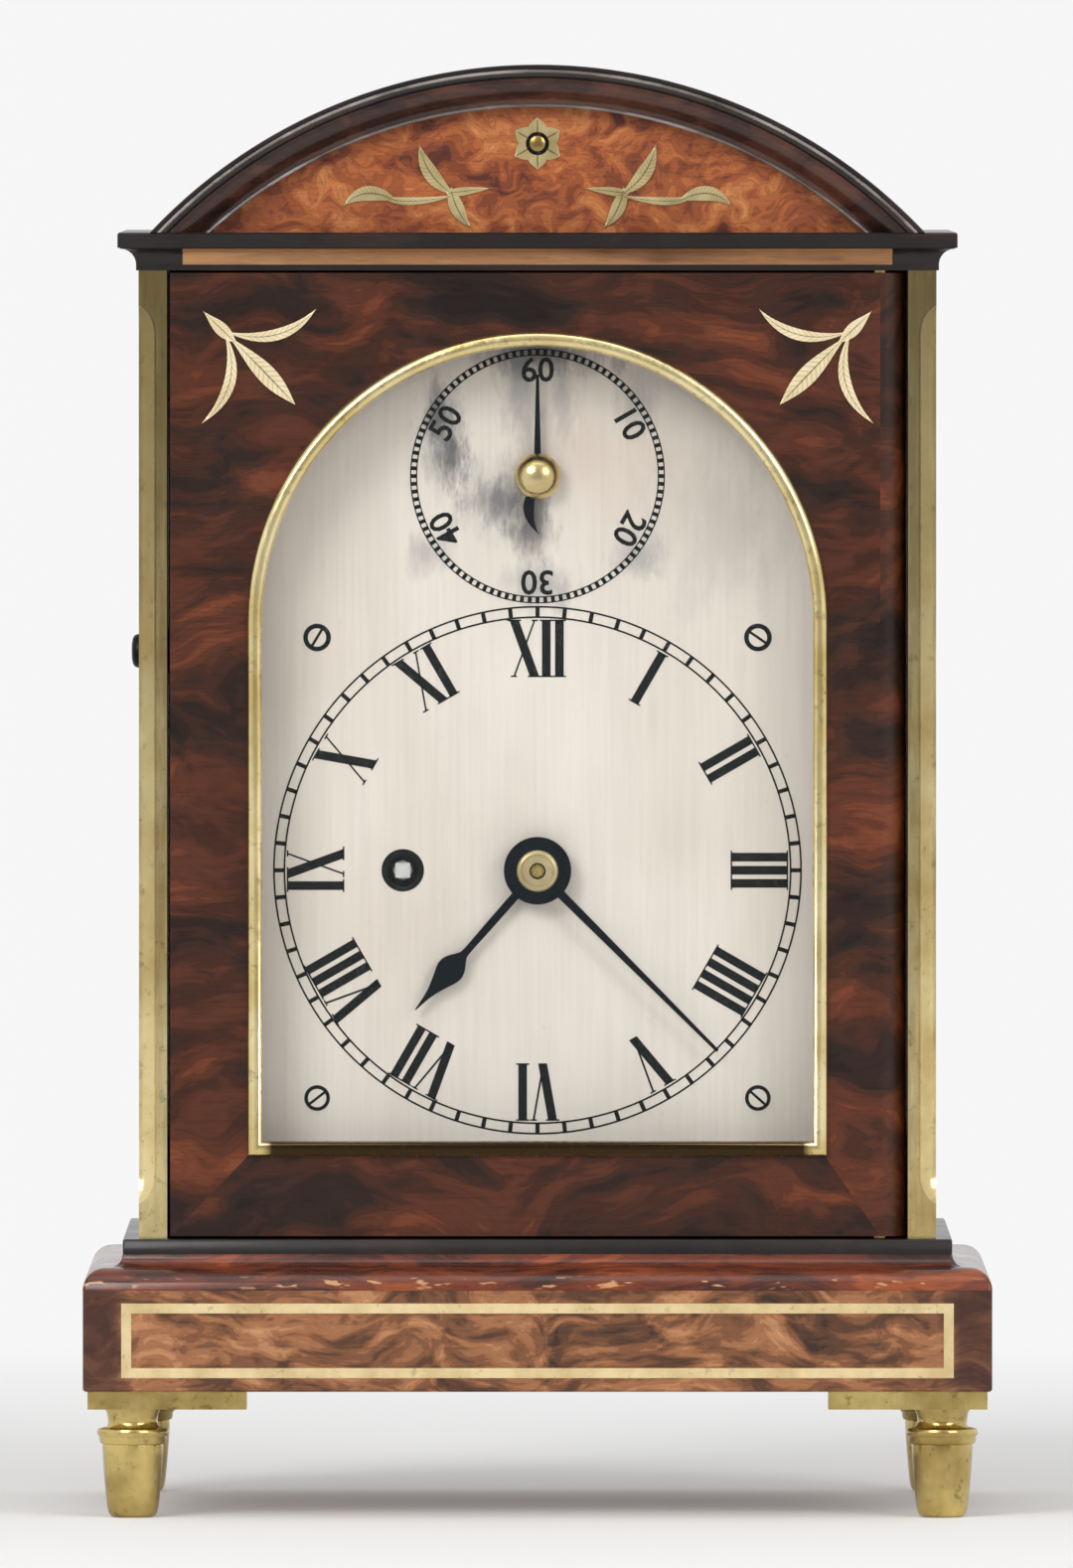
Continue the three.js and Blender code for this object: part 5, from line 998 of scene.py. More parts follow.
inlay = {
    "unit": 0.39, "base": 266.504, "front": -49.1, "back": -48.8, "rosetteHeight": 276.506,
    "rosetteRadius": 5.198,
    # the small bud where the leaves meet, as its two edges
    "bud": ([(41.5, -2.8), (42.95, 0.25), (44.3, 3.3)], [(47.2, -2.8), (45.8, 0.25), (44.5, 3.3)]),
    "cornerUnit": 0.23, "cornerX": 67.6, "cornerZ": 244.1, "cornerFront": -52.82, "cornerBack": -52.4,
    "sprayLeaves": [
        ((42.6, -1), (57.9, 7.7), (61, 25.1), 7.7, 0.5), ((41.5, -1), (71.8, -7.2), (80.8, -1), 4.1, 0.5),
        ((72.8, -4.1), (89.7, 5.1), (100, -6.7), 7.7, 0.45),
        ((44.9, 2.6), (42.1, -10.3), (34.4, -17.7), 7.2, 0.4),
        ((47.2, -0.3), (35.9, 1.5), (23.1, 2.6), 4.4, 0.3),
    ],
    "cornerLeaves": [
        ((0.9, 5.2), (13.9, 18.7), (30.4, 33.5), 11.3, 0.6), ((21.7, 23.9), (70, 38.7), (100, 3.9), 10, 0.5),
        ((20, 24.8), (39.1, 70.9), (0, 103.9), 10, 0.5), ((22.6, 26.5), (53, 56.1), (81.7, 87.4), 16.1, 0.58),
    ],
}


def leafOutline(first, bend, last, width, fullest, steps=22, least=0.12):
    # a leaf on a bent vein: both edges, from the stalk round the tip and back
    halving = 0.6931  # the logarithm of 2, which puts the widest place where it is asked for
    power = halving / -log(fullest)
    left, right = [], []
    for k in range(steps + 1):
        t = k / steps
        x = (1 - t) ** 2 * first[0] + 2 * t * (1 - t) * bend[0] + t * t * last[0]
        z = (1 - t) ** 2 * first[1] + 2 * t * (1 - t) * bend[1] + t * t * last[1]
        dx = 2 * (1 - t) * (bend[0] - first[0]) + 2 * t * (last[0] - bend[0])
        dz = 2 * (1 - t) * (bend[1] - first[1]) + 2 * t * (last[1] - bend[1])
        length = hypot(dx, dz) or 1
        half = max(least, width / 2 * sin(pi * t ** power))
        left.append((x - dz / length * half, z + dx / length * half))
        right.append((x + dz / length * half, z - dx / length * half))
    return left, right


def leafShape(edges, front, back, dome, place):
    # the face is slightly domed along its vein; u runs along the leaf and v across it
    left, right = edges
    points, uvs, faces = [], [], []
    last = len(left) - 1
    for k, ((ax, az), (bx, bz)) in enumerate(zip(left, right)):
        middle = ((ax + bx) / 2, (az + bz) / 2)
        for (x, z), y, v in (((ax, az), front, 0), (middle, front - dome, 0.5), ((bx, bz), front, 1),
                             ((ax, az), back, 0), ((bx, bz), back, 1)):
            u, w = place(x, z)
            points.append((u, y, w))
            uvs.append((k / last, v))
    for k in range(last):
        a, b = 5 * k, 5 * k + 5
        faces += [(a, a + 1, b + 1, b), (a + 1, a + 2, b + 2, b + 1), (a + 3, a, b, b + 3),
                  (a + 2, a + 4, b + 4, b + 2), (a + 4, a + 3, b + 3, b + 4)]
    end = 5 * last
    faces += [(0, 3, 4, 2, 1), (end, end + 1, end + 2, end + 4, end + 3)]
    return points, faces, uvs


def engravedMaterial(name, bright, dull):
    # brass with a dark vein down each leaf and fine cuts on both sides of it
    made, tree, shader = newMaterial(name, Metallic=0.35, Specular_IOR_Level=0.4)
    place = objectPlace(tree)
    uv = addNode(tree, "ShaderNodeUVMap", uv_map="UVMap").outputs["UV"]
    fromVein = calculated(tree, "ABSOLUTE", calculated(tree, "SUBTRACT", axisOf(tree, uv, "Y"), 0.5))
    vein = ramp(tree, fromVein, [(0.02, 0.3), (0.06, 1.0)])
    slant = calculated(tree, "ADD", times(tree, axisOf(tree, uv, "X"), 15), times(tree, fromVein, -2.4))
    cuts = ramp(tree, calculated(tree, "PINGPONG", slant, 0.5), [(0.05, 0.45), (0.14, 1.0)])
    body = mixed(tree, ramp(tree, noise(tree, place, 160, 3), [(0.35, 0.0), (0.7, 1.0)]), bright, dull)
    colour = mixed(tree, 1.0, mixed(tree, 0.6, body, cuts, "MULTIPLY"), vein, "MULTIPLY")
    dress(tree, shader, colour, 0.36)
    bumpFrom(tree, shader, cuts, 0.2, 0.00005)
    return made


oliveInlay = engravedMaterial("engraved tympanum inlay", paint(202, 184, 136), paint(160, 142, 92))
creamInlay = engravedMaterial("engraved door inlay", paint(242, 226, 186), paint(222, 200, 154))


def joinedLeaves(leaves):
    points, faces, uvs = [], [], []
    for leafPoints, leafFaces, leafUvs in leaves:
        start = len(points)
        points += leafPoints
        faces += [tuple(i + start for i in face) for face in leafFaces]
        uvs += leafUvs
    return (points, faces), uvs


def buildSpray(size, side, sideName):
    front, back = size["front"], size["back"] + 0.2

    def place(x, z):
        return side * x * size["unit"], size["base"] + z * size["unit"]

    leaves = [leafShape(leafOutline(*leaf), front, back, 0.12, place) for leaf in size["sprayLeaves"]]
    shape, uvs = joinedLeaves(leaves + [leafShape(size["bud"], front, back, 0.05, place)])
    finish("tympanum_spray_" + sideName + "_engraved", shape, "case", oliveInlay,
           ["tympanum_spray_" + sideName], uvs=uvs)


def buildCornerInlay(size, side, sideName):
    def place(x, z):
        return side * (size["cornerX"] - x * size["cornerUnit"]), size["cornerZ"] - z * size["cornerUnit"]

    leaves = [leafShape(leafOutline(*leaf), size["cornerFront"], size["cornerBack"], 0.08, place)
              for leaf in size["cornerLeaves"]]
    shape, uvs = joinedLeaves(leaves)
    finish("corner_inlay_" + sideName + "_engraved", shape, "front_door", creamInlay,
           ["corner_inlay_" + sideName], uvs=uvs)


def buildRosette(size):
    # six petals, each its own leaf from the middle outwards
    r, z0, front = size["rosetteRadius"], size["rosetteHeight"], size["front"]
    petals = []
    for k in range(6):
        turn = pi / 2 + k * pi / 3
        reach = [(cos(turn) * share * r, sin(turn) * share * r) for share in (0.2, 0.6, 1)]
        petals.append(leafShape(leafOutline(*reach, r * 0.72, 0.5, 16, 0.2), front, size["back"] + 0.2, 0.14,
                                lambda x, z: (x, z0 + z)))
    shape, uvs = joinedLeaves(petals)
    finish("tympanum_rosette_engraved", shape, "case", oliveInlay, ["tympanum_rosette"], uvs=uvs)
    boss = [(0, 0), (0.3 * r, 0), (0.3 * r, -0.3), (0.2 * r, -0.5), (0, -0.55)]
    finish("tympanum_rosette_boss", lathe(boss, 24, 0, front + 0.1, z0, "y"), "case", footBrass,
           ["tympanum_rosette"])
    ring = [circle(0, z0, 0.45 * r), circle(0, z0, 0.27 * r)]
    finish("tympanum_rosette_ring", plate(ring, front - 0.16, size["back"]), "case", wax,
           ["tympanum_rosette"])


for side, sideName in bothSides:
    buildSpray(inlay, side, sideName)
    buildCornerInlay(inlay, side, sideName)
buildRosette(inlay)
print("inlays made")

# front door

frontDoor = {
    "halfWidth": 74, "front": -52.5, "back": -42.5, "bottom": 56.5, "top": 250.5, "edgeX": 69,
    "edgeRadius": 5, "aperture": (57, 74, 180.2), "rebate": 1.8, "rebateFront": -47.2,
}
bezel = {
    "section": [
        (-1.5, -47.3), (-1.5, -52.9), (-1.42, -53.4), (-1.15, -53.8), (-0.7, -54.03), (-0.1, -54.1),
        (0.5, -54.03),
        (0.95, -53.8), (1.3, -53.4), (1.46, -52.95), (1.5, -52.5), (-0.05, -52.5), (-0.05, -47.3),
    ],
}
# the grain's direction in each part of the door, and how much light it gives back
doorGrains = {"left stile": (66, 0.86), "right stile": (16, 1.04), "head": (-26, 0.84),
              "lower rail": (30, 0.96)}


doorFinishes = [
    woodMaterial("rosewood " + part, dict(woods["rosewood door"], turn=(0, turn, 0)), share)
    for part, (turn, share) in doorGrains.items()]


def doorPart(place):
    # mitred at the lower corners, and the arched head starts at the spring
    half, low, spring = frontDoor["aperture"]
    if place.z > spring:
        return 2
    if place.z < low and abs(place.x) - half < low - place.z:
        return 3
    return 0 if place.x < 0 else 1


def mitredFrame(halfWidth, bottom, top, edge, aperture, near, far):
    # four pieces of wood round an arched opening, each as its own closed block
    half, low, spring = aperture
    curve = arch(half, low, spring, 64)[2:]
    rail = [(-halfWidth, bottom), (edge, bottom), (edge, bottom + 0.01), (half, low), (-half, low)]
    leftStile = [(-halfWidth, bottom), (-half, low), (-half, spring), (-halfWidth, spring)]
    rightStile = [(edge, bottom), (edge, spring), (half, spring), (half, low)]
    head = [(edge, spring), (edge, top), (-halfWidth, top), (-halfWidth, spring)] + list(reversed(curve))
    return joined(*(plate([loop], near, far) for loop in (rail, leftStile, rightStile, head)))


def roundedEdge(x, y, radius, bottom, top, side):
    outline = [(x + side * radius * sin(pi * k / 16), y - radius * cos(pi * k / 16)) for k in range(17)]
    return plate([outline], bottom, top, onTop)


def buildFrontDoor(size):
    half, low, spring = size["aperture"]
    r = size["rebate"]
    outline = size["halfWidth"], size["bottom"], size["top"], size["edgeX"]
    faceShape = mitredFrame(*outline, size["aperture"], size["front"], size["rebateFront"])
    backShape = mitredFrame(*outline, (half + r, low - r, spring), size["rebateFront"], size["back"])
    edge = roundedEdge(size["edgeX"], size["front"] + size["edgeRadius"], size["edgeRadius"], size["bottom"],
                       size["top"], 1)
    finish("front_door_wood", joined(faceShape, backShape, edge), "front_door",
           {"finishes": doorFinishes, "choose": doorPart}, ["front_door_frame"])
    finish("front_door_bezel_turned", mitred(arch(*size["aperture"], 96), bezel["section"]), "front_door",
           bezelBrass, ["front_door_bezel"], sharp=50)


buildFrontDoor(frontDoor)

# back door

backDoor = {
    "halfWidth": 74, "front": 44, "back": 52, "bottom": 56.5, "top": 250.5, "edgeX": -70, "edgeRadius": 4,
    "aperture": (56, 72, 180), "rebate": 1.8, "rebateBack": 49, "knobX": 65, "knobZ": 153.5, "pinX": -70,
    "pinY": 48, "pinRadius": 1.5, "pinLow": 51.5, "pinHigh": 255.5,
}
knobTurning = [
    (0, 0), (3.0, 0), (3.05, 0.4), (2.5, 1.0), (1.8, 1.7), (1.6, 2.4), (1.7, 3.1), (2.3, 3.9), (2.9, 4.6),
    (3.35, 5.4), (3.6, 6.2), (3.55, 6.9), (3.1, 7.7), (2.3, 8.3), (1.2, 8.7), (0, 8.8),
]


def buildBackDoor(size):
    half, low, spring = size["aperture"]
    r = size["rebate"]

    def flipped(shape):
        return [(-x, y, z) for x, y, z in shape[0]], shape[1]

    outline = size["halfWidth"], size["bottom"], size["top"], -size["edgeX"]
    outer = mitredFrame(*outline, size["aperture"], size["rebateBack"], size["back"])
    inner = mitredFrame(*outline, (half + r, low - r, spring), size["front"], size["rebateBack"])
    edge = roundedEdge(size["edgeX"], size["back"] - size["edgeRadius"], size["edgeRadius"], size["bottom"],
                       size["top"], -1)
    pins = [lathe([(0, 0), (size["pinRadius"], 0), (size["pinRadius"], high - low0), (0, high - low0)], 24,
                  size["pinX"], size["pinY"], low0, "z")
            for low0, high in ((size["pinLow"], size["bottom"] + 0.5), (size["top"] - 0.5, size["pinHigh"]))]
    finish("back_door_wood", joined(flipped(outer), flipped(inner), edge), "back_door", sideWood,
           ["back_door_frame"])
    finish("back_door_pins", joined(*pins), "back_door", inlayBrass, ["back_door_frame"])
    finish("back_door_knob_turned", lathe(knobTurning, 40, size["knobX"], size["back"], size["knobZ"], "y"),
           "back_door", caseBrass, ["back_door_knob"], sharp=50)


buildBackDoor(backDoor)
print("doors made")

# dial

dial = {
    "halfWidth": 59.5, "bottom": 70, "spring": 180.2, "front": -36.5, "back": -35, "inkFront": -36.56,
    "inkBack": -36.4, "numeralInner": 39.0, "numeralOuter": 50.6, "trackOuter": 53.2, "trackInner": 51.1,
    "windingX": -27.2, "smallRing": 25.6, "smallNumerals": 21.2, "smallSize": 4.9,
    "screws": [(-44.5, 176.8), (44.5, 176.8), (-44.5, 83.8), (44.5, 83.8)], "screwHead": (1.85, 0.55, 0.9),
    # the painted shade ring round each screw, of the upper two and of the lower two
    "screwShadeRings": (2.8, 2.6), "minuteLine": 0.36, "minuteTick": 0.85, "smallLine": 0.24, "smallTick": 0.8,
    "smallWidth": 1.2, "inkThickness": 0.1, "serif": 0.3, "serifReach": 0.45,
}


def buildDialPlate(size):
    z = case["hands"]
    loops = [
        arch(size["halfWidth"], size["bottom"], size["spring"], 64), circle(0, z, 4.2),
        circle(size["windingX"], z, 3.5), circle(0, case["subDial"], 2),
    ]
    finish("dial_plate_engraved", plate(loops, size["front"], size["back"]), "case", silver,
           ["dial_plate"])
    ring = [circle(size["windingX"], z, 4.3, 40), circle(size["windingX"], z, 3.5, 40)]
    finish("winding_hole_ring", plate(ring, size["inkFront"], size["inkBack"]), "case", wax,
           ["dial_plate"])
    # a black sleeve and back flange inside the winding hole: a dark piece put there as painted shade, so the
    # hole reads dark
    shadeSleeve = [(3.5, 0.1), (3.5, 5.2), (2.2, 5.2), (2.2, 4.9), (3.2, 4.9), (3.2, 0.1)]
    finish("winding_hole_lining", lathe(shadeSleeve, 40, size["windingX"], size["front"], z, "y"), "case",
           blackSteel, ["dial_plate"])


def stroke(x0, z0, x1, z1, width):
    # a straight stroke with level ends
    return [(x0 - width / 2, z0), (x0 + width / 2, z0), (x1 + width / 2, z1), (x1 - width / 2, z1)]


glyphs = {
    # strokes as (x at the foot, x at the head, width), and how far the glyph reaches
    "I": ([(0, 0, 1.75)], 2.65), "V": ([(0.3, -1.75, 1.8), (0.1, 2.15, 0.4)], 6.0),
    "X": ([(2.1, -2.1, 1.9), (-2.1, 2.1, 0.36)], 6.2),
}


def numeralShapes(size):
    words = ["XII", "I", "II", "III", "IIII", "V", "VI", "VII", "VIII", "IX", "X", "XI"]
    height, serif = size["numeralOuter"] - size["numeralInner"], size["serif"]
    shapes = []
    for hour, word in enumerate(words):
        angle = radians(30 * hour)
        total = sum(glyphs[letter][1] for letter in word)
        at = -total / 2
        loops = []
        for letter in word:
            strokes, wide = glyphs[letter]
            middle = at + wide / 2
            for foot, head, width in strokes:
                loops.append(stroke(middle + foot, 0, middle + head, height, width))
                for x, z in ((foot, 0), (head, height)):
                    if letter == "V" and z == 0:
                        continue
                    half = width / 2 + size["serifReach"]
                    low, high = (z, z + serif) if z == 0 else (z - serif, z)
                    loops.append(rectangle(middle + x - half, middle + x + half, low, high))
            at += wide
        for loop in loops:
            turned = []
            for x, z in loop:
                r = size["numeralInner"] + z
                turned.append((r * sin(angle) + x * cos(angle),
                               case["hands"] + r * cos(angle) - x * sin(angle)))
            shapes.append(plate([turned], size["inkFront"], size["inkBack"]))
    return shapes


def trackTree(sizes):
    # two fine rings with ticks between them
    tree, given, last = newTree("track", sizes, wax)
    both = tree.nodes.new("GeometryNodeJoinGeometry")
    section = addNode(tree, "GeometryNodeCurvePrimitiveQuadrilateral", {
        "Width": given["Line"], "Height": given["Thickness"]})
    for key in ("Outer", "Inner"):
        ring = addNode(tree, "GeometryNodeCurvePrimitiveCircle", {"Resolution": 180, "Radius": given[key]})
        line = addNode(tree, "GeometryNodeCurveToMesh", {
            "Curve": ring.outputs["Curve"], "Profile Curve": section.outputs["Curve"]})
        tree.links.new(line.outputs[0], both.inputs[0])
    middle = times(tree, calculated(tree, "ADD", given["Outer"], given["Inner"]), 0.5)
    length = calculated(tree, "SUBTRACT", given["Outer"], given["Inner"])
    ticks = barsOnRing(tree, given["Count"], middle, length, given["Tick"], given["Thickness"])
    tree.links.new(ticks, both.inputs[0])
    upright = addNode(tree, "GeometryNodeTransform", {
        "Geometry": both.outputs[0], "Rotation": Euler((pi / 2, 0, 0))})
    tree.links.new(movedTo(tree, upright.outputs[0], given["Depth"], given["Height"]), last)
    return tree


def buildTracks(size):
    sizes = {
        "Outer": size["trackOuter"] / 1000, "Inner": size["trackInner"] / 1000, "Count": 60,
        "Line": size["minuteLine"] / 1000, "Tick": size["minuteTick"] / 1000,
        "Thickness": size["inkThickness"] / 1000, "Depth": size["front"] / 1000,
        "Height": case["hands"] / 1000,
    }
    tree = trackTree(sizes)
    small = dict(sizes, Outer=size["smallRing"] / 1000, Inner=(size["smallRing"] - size["smallWidth"]) / 1000,
                 Height=case["subDial"] / 1000, Line=size["smallLine"] / 1000, Tick=size["smallTick"] / 1000,
                 Count=100)
    for name, each in (("minute_track", sizes), ("small_dial_track", small)):
        ridden(bakeTree(name, tree, each, ([(0, 0, 0)], [])), "case", ["dial_plate"])


def digitShape(word, height, angle, radius, size):
    # generic numerals, set upright to the dial's own middle
    letters = bpy.data.curves.new("digits", "FONT")
    letters.body = word
    letters.size = height * 1.4
    letters.align_x = "CENTER"
    letters.align_y = "CENTER"
    letters.extrude = 0.05
    letters.offset = 0.11  # engraved bolder than the plain letter
    letters.resolution_u = 3
    mesh = evaluatedMesh(inScene("digits", letters))
    points = []
    for vertex in mesh.vertices:
        x, z = vertex.co.x, vertex.co.y + radius
        points.append((x * cos(angle) + z * sin(angle), size["inkFront"] + 0.05 - vertex.co.z,
                       case["subDial"] + z * cos(angle) - x * sin(angle)))
    faces = [tuple(face.vertices) for face in mesh.polygons]
    bpy.data.meshes.remove(mesh)
    return points, faces


def buildNumerals(size):
    finish("hour_numerals", joined(*numeralShapes(size)), "case", wax, ["dial_plate"])
    digits = [digitShape(str(10 * k), size["smallSize"], radians(60 * k), size["smallNumerals"], size)
              for k in range(1, 7)]
    finish("small_dial_digits", joined(*digits), "case", wax, ["dial_plate"])


def screwTree(sizes, head, material):
    tree, given, last = newTree("screws", sizes, material)
    shape = addNode(tree, "GeometryNodeObjectInfo", {"Object": head})
    # of a random number's sockets, 2 and 3 are its limits, 8 its seed, and 1 what it gives
    angle = addNode(tree, "FunctionNodeRandomValue", {2: -1.3, 3: 1.3, 8: given["Seed"]},
                    data_type="FLOAT").outputs[1]
    turn = addNode(tree, "FunctionNodeEulerToRotation", {
        0: addNode(tree, "ShaderNodeCombineXYZ", {"Y": angle}).outputs[0]})
    points = addNode(tree, "GeometryNodeInstanceOnPoints", {
        "Points": given["Geometry"], "Instance": shape.outputs["Geometry"], "Rotation": turn.outputs[0]})
    tree.links.new(points.outputs[0], last)
    return tree


def turnedBack(shape):
    return [(-x, -y, z) for x, y, z in shape[0]], shape[1]


def bakeScrews(name, headShape, places, seed, material):
    # one head at each place, its slot turned anyhow
    head = meshObject(name + "_head", *headShape)
    tidyMesh(head)
    sizes = {"Seed": seed}
    made = bakeTree(name, screwTree(sizes, head, material), sizes, (places, []))
    bpy.data.objects.remove(head)
    return made


def screwHead(radius, slotWidth, height):
    # a flat round head in two halves either side of its slot
    parts = []
    gap = slotWidth / 2
    for side in (-1, 1):
        first = asin(gap / radius)
        turns = [pi / 2 - first - (pi - 2 * first) * k / 14 for k in range(15)]
        edge = [(side * max(gap, abs(radius * cos(a))), radius * sin(a)) for a in turns]
        parts.append(plate([edge], -height, 0))
    return joined(*parts)


def buildDialScrews(size):
    places = [(x, size["front"], z) for x, z in size["screws"]]
    made = bakeScrews("dial_screws", screwHead(*size["screwHead"]), places, 4, silver)
    ridden(made, "case", ["dial_plate"], sharp=30)
    # a dark disc under each head shows round it as painted shade, wider round the upper two
    upper, lower = size["screwShadeRings"]
    rings = [plate([circle(x, z, upper if z > case["hands"] else lower)], size["inkFront"], size["inkBack"])
             for x, z in size["screws"]]
    finish("dial_screw_rings", joined(*rings), "case", wax, ["dial_plate"])


buildDialPlate(dial)
buildTracks(dial)
buildNumerals(dial)
buildDialScrews(dial)
print("dial made")

# hands

hands = {
    "hourAngle": 221.25, "hourLength": 37.4, "hourFront": -39.2, "hourBack": -38.4, "minuteAngle": 135,
    "minuteLength": 51.4, "minuteFront": -41.2, "minuteBack": -40.4, "boss": 6.8, "hourBore": 3.55,
    "minuteBore": 1.7, "collarRadius": 4.2, "needle": 20.5, "needleFront": -39.1,
    # how far out along the hour hand, and its half width there
    "hourBlade": [
        (0.165, 0.85), (0.4, 0.8), (0.58, 0.75), (0.62, 1.2), (0.66, 2.2), (0.7, 2.75), (0.74, 2.65),
        (0.8, 1.8), (0.86, 1.0), (0.92, 0.5), (1, 0.12),
    ],
    "needleBack": -38.3, "knobBack": -39.15, "knobRadius": 4.7,
}


def turnedFlat(points, angle, z0):
    a = radians(angle)
    return [(x * cos(a) + z * sin(a), z0 + z * cos(a) - x * sin(a)) for x, z in points]


def leafLoop(*leaf):
    left, right = leafOutline(*leaf)
    return left + list(reversed(right))


def buildHands(size):
    z, boss, length = case["hands"], size["boss"], size["hourLength"]
    right = smoothLine([(half, length * reach) for reach, half in size["hourBlade"]], 5)
    blade = right + [(-x, along) for x, along in reversed(right)]
    length = size["minuteLength"]
    shaft = [(-0.9, boss - 0.6), (0.9, boss - 0.6), (0.35, length), (-0.35, length)]
    for name, loop, sides in (("hour", blade, 40), ("minute", shaft, 32)):
        front, back = size[name + "Front"], size[name + "Back"]
        disc = [circle(0, z, boss, 56), circle(0, z, size[name + "Bore"], sides)]
        shape = joined(plate([turnedFlat(loop, size[name + "Angle"], z)], front, back),
                       plate(disc, front, back))
        finish(name + "_hand_blued", shape, name, bluedSteel, [name + "_hand"], bevel=0.12)
    r = size["collarRadius"]
    collar = [(1.66, 0), (r, 0), (r, -1.1), (r * 0.97, -1.38), (r * 0.9, -1.55), (r * 0.8, -1.62),
              (r * 0.77, -1.5), (r * 0.73, -1.5), (r * 0.7, -1.64), (r * 0.5, -1.72), (1.66, -1.76)]
    finish("hand_collar_domed", lathe(collar, 44, 0, size["minuteFront"], z, "y"), "minute",
           hubBrass, ["hand_collar"], sharp=40)
    z, n = case["subDial"], size["needle"]
    tail = [(x, z + h) for x, h in leafLoop((-0.4, -2), (-3.4, -7), (0.2, -11.6), 2.2, 0.4)]
    loops = ([circle(0, z, 3.2), circle(0, z, 1.62, 24)],
             [[(-0.75, z + 2), (0.75, z + 2), (0.3, z + n), (-0.3, z + n)]], [tail])
    shapes = [plate(each, size["needleFront"], size["needleBack"]) for each in loops]
    finish("regulation_hand_blued", joined(*shapes), "regulation", bluedSteel,
           ["regulation_hand"], bevel=0.1)
    r = size["knobRadius"]
    knob = [(0, 0), (r, 0), (r, -0.7), (r * 0.96, -1.1), (r * 0.84, -1.9), (r * 0.66, -2.7),
            (r * 0.45, -3.25), (r * 0.2, -3.53), (0, -3.6)]
    finish("regulation_knob_domed", lathe(knob, 44, 0, size["knobBack"], z, "y"), "regulation",
           caseBrass, ["regulation_knob"], sharp=50)


buildHands(hands)
print("hands made")

# movement

bob = {"radius": 18, "thickness": 8, "y": 26.8, "z": 88.8, "nutLow": 67.6, "nutHigh": 70.2, "nutRadius": 3.8}
gutLine = {
    "radius": 0.45, "gap": 0.2, "fusee": -27.2, "barrel": 27.2, "drumFront": -14, "fuseeLength": 23,
    "pitch": 2.875,
    "small": 9, "large": 17.5, "barrelRadius": 20.6, "turnsOnFusee": 3, "turnsOnBarrel": 2, "steps": 40,
}


def buildBob(size):
    r, h = size["radius"], size["thickness"] / 2
    lens = [(0, -h)]
    lens += [(r * sin(radians(t)), -h * (cos(radians(t)) ** 0.9)) for t in range(10, 90, 8)]
    lens += [(r, -0.35), (r, 0.35)] + [(a, -b) for a, b in reversed(lens[1:])] + [(0, h)]
    finish("pendulum_bob_turned", lathe(lens, 72, 0, size["y"], size["z"], "y"), "pendulum",
           movementBrass, ["pendulum_bob"], sharp=60)


def gutRoute(size):
    def cone(y):
        share = max(0, y - size["drumFront"]) / size["fuseeLength"]
        return size["small"] + (size["large"] - size["small"]) * share ** 0.75

    start = size["drumFront"] + size["fuseeLength"] / 2
    lift = size["radius"] + size["gap"]
    points = []
    for k in range(-size["turnsOnFusee"] * size["steps"], 1):
        y = start - size["pitch"] * k / size["steps"]
        r = cone(y + size["radius"]) + lift
        a = -pi / 2 + 2 * pi * k / size["steps"]
        points.append((size["fusee"] + r * cos(a), y, case["hands"] + r * sin(a)))
    for k in range(size["turnsOnBarrel"] * size["steps"] + 1):
        y = start - (2 * size["radius"] + size["gap"]) * k / size["steps"]
        r = size["barrelRadius"] + lift + 0.4
        a = -pi / 2 + 2 * pi * k / size["steps"]
        points.append((size["barrel"] + r * cos(a), y, case["hands"] + r * sin(a)))
    return points


def roundLine(points, radius, sides=10):
    rings = []
    places = [Vector(p) for p in points]
    for i, p in enumerate(places):
        along = (places[min(len(places) - 1, i + 1)] - places[max(0, i - 1)]).normalized()
        across = Vector((0, 1, 0)).cross(along).normalized()
        over = along.cross(across)
        rings.append([tuple(p + across * a + over * b) for a, b in circle(0, 0, radius, sides)])
    return loft(rings)


def nutTree(sizes):
    # knurled edge: one small rib on every point of a circle
    tree, given, last = newTree("rating nut ribs", sizes, movementBrass)
    ribs = barsOnRing(tree, given["Count"], given["Radius"], 0.0005, 0.0003, given["Height"])
    tree.links.new(movedTo(tree, ribs, given["Depth"], given["Middle"]), last)
    return tree


# engraved border of the back plate, and the screws of the cock on it
backPlate = {
    "face": 19.0, "corners": [(-54, 76), (54, 76), (54, 186), (30, 217), (-30, 217), (-54, 186)],
    "lines": (2.2, 5.6), "cuts": 3.9, "cutLength": 2.2, "cutWidth": 0.3, "pitch": 1.05, "slant": 38,
    "lineWidth": 0.28, "cockFace": 24.6, "cockScrews": [(-12, 198.5), (12, 198.5)],
    "screwHead": (1.8, 0.5, 0.9),
}


def insetLoop(corners, distance):
    # the same outline, drawn that far inside
    inside = []
    for i, (x, z) in enumerate(corners):
        x0, z0 = corners[i - 1]
        x1, z1 = corners[(i + 1) % len(corners)]
        into = Vector((x - x0, z - z0)).normalized()
        outOf = Vector((x1 - x, z1 - z)).normalized()
        normal = Vector((-(into.y + outOf.y), into.x + outOf.x)).normalized()
        reach = distance / normal.dot(Vector((-into.y, into.x)))
        inside.append((x + normal.x * reach, z + normal.y * reach))
    return inside


